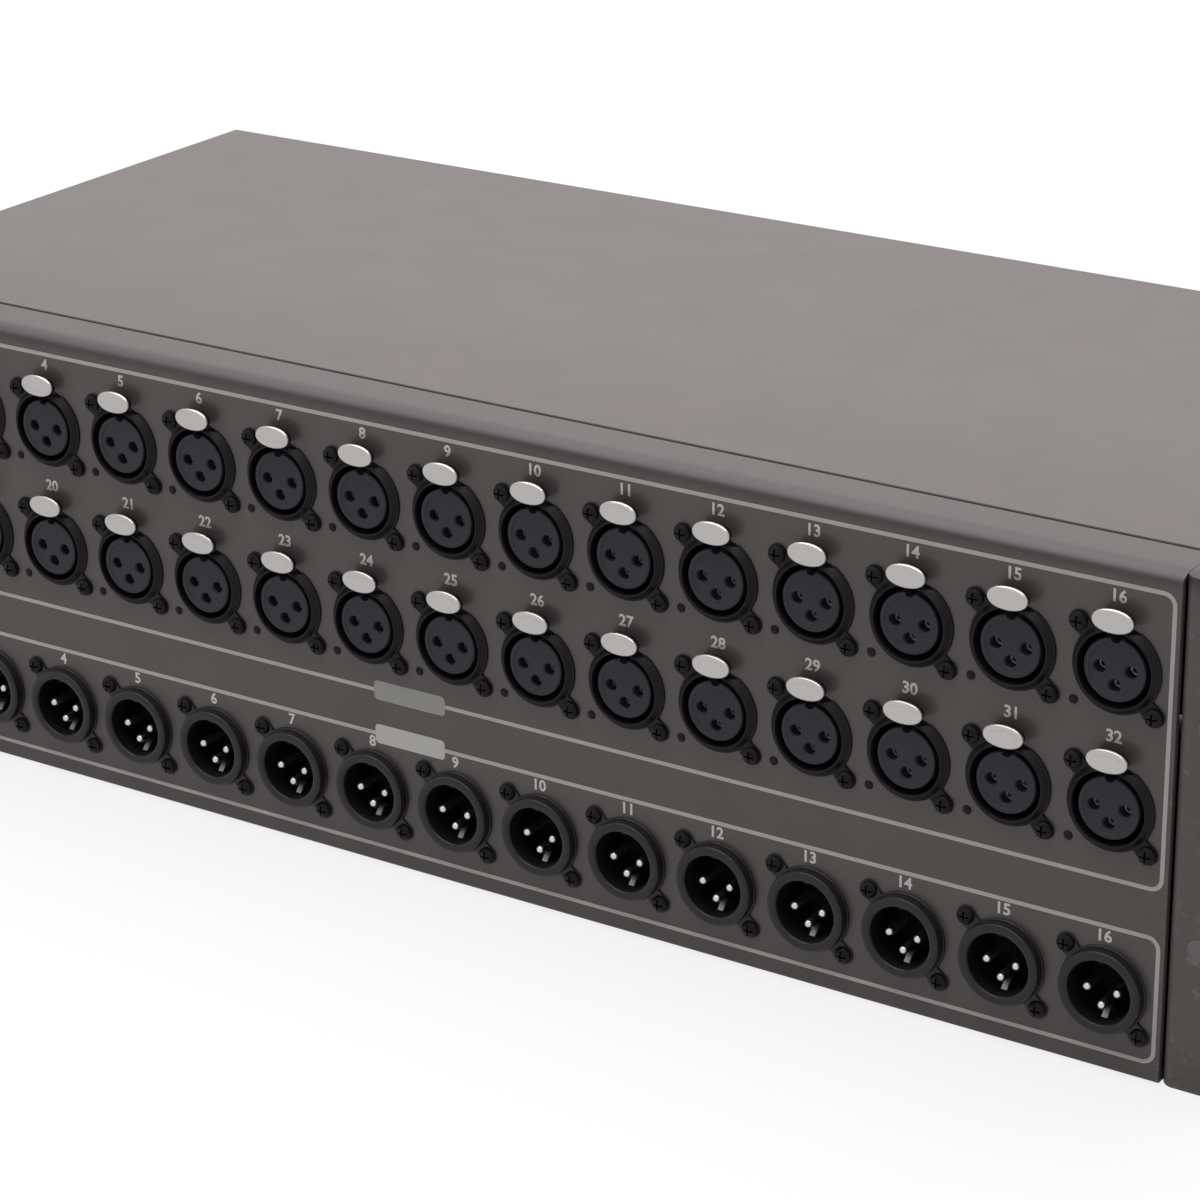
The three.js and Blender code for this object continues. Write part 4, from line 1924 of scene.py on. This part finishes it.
@dataclass
class Screws:
    """The screws of the connectors, cover, ears and rear panel."""

    layout: Layout
    bench: Bench
    shape: ConnectorShape
    connector: Screw = Screw(2.3, 1.6)
    cover: Screw = Screw(3.6, 2.0, 24)
    shank: tuple[Pair, ...] = ((0.0, 0.0), (1.9, 0.0), (1.9, 7.4), (1.5, 8.0), (0.0, 8.0))
    shank_sides: int = 16
    ear_thickness: float = 2.5
    ear_shift: float = 6.0
    # Shares of the case's height, then shares of its half width with heights
    ear_shares: Triple = (0.15, 0.5, 0.85)
    rear_shares: Triple = (-0.94, 0.0, 0.94)
    rear_levels: Pair = (12.0, 120.0)

    def place_screws(self, name: str, head: Surface, spots: np.ndarray | list) -> None:
        """Makes one piece of equal screws."""
        screws = head.repeated(np.array(spots))
        self.bench.piece(name, screws, [SCREW_PLATING], slot="screw_black")

    def sideways(self, head: Surface, side: int) -> Surface:
        """A head that faces out of the case's side."""
        return head.turned((1, 0, 2), (-side, 1, 1))

    def build_connector_screws(self) -> None:
        """Makes two screws on each connector."""
        place, offset = self.layout, self.shape.lug_offset
        head = self.connector.surface(self.bench)
        lugs = np.array([(-offset, 0.0, offset), (offset, 0.0, -offset)])
        seat = place.front - self.shape.plate_thickness
        for name, z in (("upper", place.upper), ("lower", place.lower), ("output", place.output)):
            spots = (place.row(z, seat)[:, None] + lugs[None]).reshape(-1, 3)
            self.place_screws(f"{name}_connector_screws", head, spots)

    def build_cover_screws(self) -> None:
        """Makes the six cover screws, with their shanks."""
        shank = lathe(self.shank, self.shank_sides)
        whole = joined([self.cover.surface(self.bench), shank])
        for word, side in (("right", 1), ("left", -1)):
            for index in COVER_SCREWS:
                node = f"cover_screw_{word}_{index}"
                _, y, z = Layout.middle(node)
                self.bench.piece(
                    f"{node}_head",
                    self.sideways(whole, side).moved(side * self.layout.half_width, y, z),
                    [SCREW_PLATING],
                    replaces=[node],
                    slot="screw_black",
                )

    def build_ear_screws(self) -> None:
        """Makes three screws on each ear's leg."""
        head = PANEL_SCREW.surface(self.bench)
        face = self.layout.half_width + self.ear_thickness
        y = Layout.middle("rack_ear_right")[1] + self.ear_shift
        levels = [self.layout.height * share for share in self.ear_shares]
        for word, side in (("right", 1), ("left", -1)):
            spots = [(side * face, y, z) for z in levels]
            self.place_screws(f"{word}_ear_screws", self.sideways(head, side), spots)

    def build_rear_screws(self) -> None:
        """Makes the six screws of the rear panel."""
        head = PANEL_SCREW.surface(self.bench).turned((0, 1, 2), (-1, -1, 1))
        half, back = Layout.corners("rear_panel")[1][:2]
        spots = [(share * half, back, z) for share in self.rear_shares for z in self.rear_levels]
        self.place_screws("rear_panel_screws", head, spots)

    def build(self) -> None:
        """Makes all of them."""
        self.build_connector_screws()
        self.build_cover_screws()
        self.build_ear_screws()
        self.build_rear_screws()


@dataclass
class Multipin:
    """A multipin connector at the back: square flange, barrel and a field of contacts."""

    layout: Layout
    bench: Bench
    use: str
    flange: float = 68.0
    corner: float = 6.0
    corner_steps: int = 6
    plate: float = 3.0
    plate_edge: float = 0.4
    plate_overlap: float = 0.5
    plate_hole_sides: int = 64
    barrel: float = 28.0
    barrel_sides: int = 72
    bore: float = 25.0
    # The lip's radius and thickness
    lip: Pair = (22.0, 2.0)
    mouth: float = 0.8
    # Insets from the barrel's outside and drops from its end, or from a ridge's start
    barrel_end: tuple[Pair, ...] = ((1.0, 0.0), (0.6, 0.4))
    ridge: tuple[Pair, ...] = ((0.6, 1.6), (0.0, 2.1), (0.0, 2.6), (0.6, 3.1))
    ridges: int = 4
    ridge_pitch: float = 2.0
    ridge_depth: float = 0.6
    insulator_gap: float = 0.3
    insulator_edge: tuple[Pair, ...] = ((0.0, 0.5), (0.5, 0.0), (2.0, 0.0), (2.3, 0.4))
    insulator_sides: int = 64
    contact: tuple[Pair, ...] = ((0.0, 0.0), (0.8, 0.0), (0.8, 5.0), (0.5, 5.6), (0.0, 5.8))
    contact_sides: int = 10
    contact_root: float = 0.6
    contact_pitch: float = 5.0
    contact_rings: int = 4
    screw_inset: float = 6.5

    def contact_places(self) -> np.ndarray:
        """The contacts' places round the middle.

        Returns:
            Hexagonal rings, where ring k has 6k contacts on the sides of a hexagon.
        """
        places = [(0.0, 0.0)]
        corners = np.array([(math.cos(a), math.sin(a)) for a in np.radians(np.arange(7) * 60)])
        for ring in range(1, self.contact_rings + 1):
            for side in range(6):
                for step in range(ring):
                    share = step / ring
                    spot = corners[side] * (1 - share) + corners[side + 1] * share
                    places.append(tuple(spot * ring * self.contact_pitch))
        return np.array(places)

    def plate_shape(self, x: float, z: float, face: float) -> Surface:
        """The flange.

        Args:
            x: the connector's middle.
            z: its middle's height.
            face: the rear panel's face.

        Returns:
            A square plate with round corners and soft edges, less a round hole.
        """
        half, back = self.flange / 2, face + self.plate
        sides, ends = (x - half, x + half), (z - half, z + half)
        loop = rounded_loop(sides, ends, self.corner, self.corner_steps)
        round_hole = disc_loop(x, z, self.barrel - self.plate_overlap, self.plate_hole_sides)
        hole = prism(round_hole, Axis.Y, face - OVERRUN, back + OVERRUN)
        plate = self.bench.cut(prism(loop, Axis.Y, face, back), hole)
        return self.bench.softened(plate, self.plate_edge)

    def barrel_shape(self, base: float, top: float, face: float) -> Surface:
        """The barrel.

        Args:
            base: where it starts inside the case.
            top: where it ends behind the case.
            face: the rear panel's face.

        Returns:
            A turned tube with a lip inside, a bevelled mouth and raised rings outside.
        """
        bore, outer, (lip, thickness) = self.bore, self.barrel, self.lip
        profile = [(lip, base), (lip, base + thickness), (bore, base + thickness)]
        profile += [(bore, top - self.mouth), (bore + self.mouth, top)]
        profile += [(outer - inset, top - drop) for inset, drop in self.barrel_end]
        for index in range(self.ridges):
            start = top - index * self.ridge_pitch
            profile += [(outer - inset, start - drop) for inset, drop in self.ridge]
        back = face + self.plate
        profile += [(outer - self.ridge_depth, back + self.ridge_depth), (outer, back)]
        return lathe([*profile, (outer, base)], self.barrel_sides, closed=True)

    def build(self) -> None:
        """Makes the connector."""
        piece, use = self.bench.piece, self.use
        (_, base, _), (_, top, _) = Layout.corners(f"{use}_multipin_shell")
        x, _, z = Layout.middle(f"{use}_multipin_shell")
        face = Layout.corners("rear_panel")[1][1]
        barrel = self.barrel_shape(base, top, face).moved(x, 0.0, z)
        piece(
            f"{use}_multipin_body",
            joined([self.plate_shape(x, z, face), barrel]),
            [SHELL_ANODISED],
            replaces=[f"{use}_multipin_shell"],
            slot="multipin_shell",
        )
        (_, start, _), (_, end, _) = Layout.corners(f"{use}_multipin_insulator")
        radius = self.bore - self.insulator_gap
        edge = [(radius - inset, end - drop) for inset, drop in self.insulator_edge]
        profile = [(0.0, start), (radius, start), *edge, (0.0, edge[-1][1])]
        piece(
            f"{use}_multipin_face",
            lathe(profile, self.insulator_sides).moved(x, 0.0, z),
            [INSULATOR_MOULDING],
            replaces=[f"{use}_multipin_insulator"],
            slot="insulator_black",
        )
        root = end - self.contact_root
        pin = lathe(self.contact, self.contact_sides)
        pins = pin.repeated(np.insert(self.contact_places(), 1, 0.0, axis=1)).moved(x, root, z)
        piece(f"{use}_multipin_contacts", pins, [CONTACT_PLATING], slot="contact_silver")
        head = PANEL_SCREW.surface(self.bench).turned((0, 1, 2), (-1, -1, 1))
        away, back = self.flange / 2 - self.screw_inset, face + self.plate
        corners = [(x + i * away, back, z + k * away) for i in (-1, 1) for k in (-1, 1)]
        screws = head.repeated(np.array(corners))
        piece(f"{use}_multipin_screws", screws, [SCREW_PLATING], slot="screw_black")


@dataclass
class Looms:
    """The wiring inside: a sleeved trunk behind each board, a branch to its multipin, a bridge."""

    layout: Layout
    bench: Bench
    trunk: float = 4.4
    trunk_room: float = 4.8
    trunk_steps: int = 90
    trunk_sides: int = 16
    branch: float = 5.4
    branch_steps: int = 8
    branch_sides: int = 18
    branch_root: float = 1.5
    branch_straight: float = 11.0
    end_gap: float = 0.3
    spacing: float = 14.0
    tie_width: float = 2.4
    # How far a tie's inside and outside stand past the trunk's radius
    tie_levels: Pair = (-0.3, 0.1)
    tie_shift: float = 13.0

    def loom(self, board: str, z: float, x: float, end_z: float) -> Surface:
        """One loom, with ties round the trunk.

        Args:
            board: the node of the board that it serves.
            z: the row's height.
            x: the multipin's place.
            end_z: the height at which it enters the multipin.

        Returns:
            Two round tubes along smooth routes, and thin rings round the trunk.
        """
        behind = Layout.corners(board)[1][1] + self.trunk_room
        reach, steps = self.layout.columns[-1], self.trunk_steps
        end = Layout.corners("input_multipin_insulator")[0][1] - self.end_gap
        level = behind + (end - behind) / 3
        line = np.array([(along, behind, z) for along in np.linspace(-reach, reach, steps)])
        trunk = swept(line, np.full(steps, self.trunk), self.trunk_sides)
        route = smooth_route(
            [
                (x, behind - self.branch_root, z),
                (x, behind + self.branch_straight, z),
                (x, (behind + level) / 2, (z + end_z) / 2),
                (x, level, end_z),
                (x, level + self.branch_straight, end_z),
                (x, end, end_z),
            ],
            self.branch_steps,
        )
        branch = swept(route, np.full(len(route), self.branch), self.branch_sides)
        inner, outer = (self.trunk + step for step in self.tie_levels)
        half = self.tie_width / 2
        ring = [(inner, -half), (outer, -half), (outer, half), (inner, half)]
        tie = lathe(ring, self.trunk_sides, closed=True).turned((1, 0, 2), (1, 1, 1))
        spots = [(place + self.tie_shift, behind, z) for place in self.layout.columns[:-1:2]]
        return joined([trunk, branch, tie.repeated(np.array(spots)).finished(1)])

    def build(self, bridge: bpy.types.Object) -> None:
        """Makes the three looms and dresses the bridge under them.

        Args:
            bridge: the bridge's node.
        """
        place = self.layout
        inlet = Layout.middle("input_multipin_shell")
        outlet = Layout.middle("output_multipin_shell")
        low = inlet[2] - self.spacing / 2
        runs = {
            "upper_input": ("upper_insert_board", place.upper, inlet[0], low + self.spacing),
            "lower_input": ("lower_insert_board", place.lower, inlet[0], low),
            "output": ("output_pin_board", place.output, outlet[0], low),
        }
        for name, (board, z, x, end_z) in runs.items():
            self.bench.piece(
                f"{name}_loom_sleeve",
                self.loom(board, z, x, end_z),
                [LOOM_WEAVE, TIE_BLACK],
                replaces=[f"{name}_loom"],
                slot="loom_black",
            )
        bridge.data.materials.clear()
        bridge.data.materials.append(BRACKET_PLATING.material())
        LOG.info("%s: the CAD part, with a new finish", bridge.name)


# The studio


@dataclass
class Studio:
    """The camera at the photograph's angle, a pale floor and plain soft light, in metres."""

    eye: Triple = (0.56144, -0.85574, 0.44927)
    turn: Triple = (68.458, 0.531, 33.439)
    lens: float = 114.037
    sensor: float = 36.0
    nearest: float = 0.01
    sky: float = 0.2
    floor_size: float = 40.0
    floor_drop: float = 0.0001
    floor_tone: float = 0.235
    floor_roughness: float = 0.9
    seen_tone: float = 0.8
    seen_glow: float = 0.8
    target: Triple = (-0.03, -0.1035, 0.06)
    lamp_size: Pair = (2.2, 2.2)
    lamp_power: float = 56.5
    lamp_place: Triple = (-0.15, 0.3, 1.7)
    low_lamp_size: Pair = (0.35, 0.35)
    low_lamp_power: float = 5.4
    low_lamp_place: Triple = (-0.615, -1.345, -0.54)

    def camera(self) -> None:
        """Sets the camera as solved from the photograph."""
        data = bpy.data.cameras.new("camera")
        data.lens = self.lens
        data.sensor_width = self.sensor
        data.clip_start = self.nearest
        camera = bpy.data.objects.new("camera", data)
        camera.location = self.eye
        camera.rotation_euler = [math.radians(value) for value in self.turn]
        bpy.context.scene.collection.objects.link(camera)
        bpy.context.scene.camera = camera

    def floor(self) -> None:
        """A pale floor that keeps the object's shadow, looks white and lets lamplight through."""
        half, level = self.floor_size / 2, -self.floor_drop
        mesh = bpy.data.meshes.new("floor")
        corners = [(-half, -half), (half, -half), (half, half), (-half, half)]
        mesh.from_pydata([(*corner, level) for corner in corners], [], [(0, 1, 2, 3)])
        floor = bpy.data.objects.new("floor", mesh)
        bpy.context.scene.collection.objects.link(floor)
        floor.visible_shadow = False
        wiring = Wiring.material("floor")
        seen = wiring.seen()
        lit_tone, seen_tone = (shade((grey,) * 3) for grey in (self.floor_tone, self.seen_tone))
        tone = wiring.mixed(seen, lit_tone, seen_tone)
        wiring.dress(Base_Color=tone, Roughness=self.floor_roughness, Specular_IOR_Level=0.0)
        glow = wiring.node("ShaderNodeEmission", {}, {"Strength": 1.0})
        lit = Signal(wiring, wiring.shader.outputs[0])
        inputs = {0: seen * self.seen_glow, 1: lit, 2: glow}
        mix = wiring.node("ShaderNodeMixShader", {}, inputs)
        wiring.feed(wiring.tree.nodes["Material Output"].inputs["Surface"], mix)
        mesh.materials.append(wiring.made)

    def light(self) -> None:
        """Soft light from above and low on the left, and a sky that shows white."""
        world = bpy.data.worlds.new("sky")
        bpy.context.scene.world = world
        wiring = Wiring(world, "Background")
        strength = self.sky + wiring.seen() * (1 - self.sky)
        wiring.dress(Color=shade((1.0, 1.0, 1.0)), Strength=strength)
        below = (*self.lamp_place[:2], 0.0)
        self.lamp("overhead", self.lamp_place, below, self.lamp_size, self.lamp_power)
        place, size = self.low_lamp_place, self.low_lamp_size
        low = self.lamp("low_left", place, self.target, size, self.low_lamp_power)
        low.visible_glossy = False
        bpy.context.scene.view_settings.view_transform = "Standard"

    def lamp(
        self, name: str, place: Triple, target: Triple, size: Pair, power: float
    ) -> bpy.types.Object:
        """Adds a rectangular lamp.

        Args:
            name: the lamp's name.
            place: where it stands.
            target: the point that it faces.
            size: its width and height.
            power: its power in watts.

        Returns:
            The lamp.
        """
        data = bpy.data.lights.new(name, "AREA")
        data.shape = "RECTANGLE"
        data.size, data.size_y = size
        data.energy = power
        lamp = bpy.data.objects.new(name, data)
        lamp.location = place
        aim = Vector(target) - Vector(place)
        lamp.rotation_euler = aim.to_track_quat("-Z", "Y").to_euler()
        bpy.context.scene.collection.objects.link(lamp)
        return lamp

    def build(self) -> None:
        """Makes the studio."""
        self.camera()
        self.floor()
        self.light()


def main() -> None:
    """Builds the object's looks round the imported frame."""
    logging.basicConfig(level=logging.INFO, format="%(message)s")
    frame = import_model()
    Studio().build()
    bench = Bench()
    layout = Layout.from_frame(frame)
    shape = ConnectorShape(layout)
    FrontPanel(layout, bench).build()
    Enclosure(layout, bench).build()
    InputSockets(layout, bench, shape).build()
    OutputPlugs(layout, bench, shape).build()
    Screws(layout, bench, shape).build()
    for use in ("input", "output"):
        Multipin(layout, bench, use).build()
    Looms(layout, bench).build(frame["nodes"]["loom_bridge"])


if __name__ == "__main__":
    main()
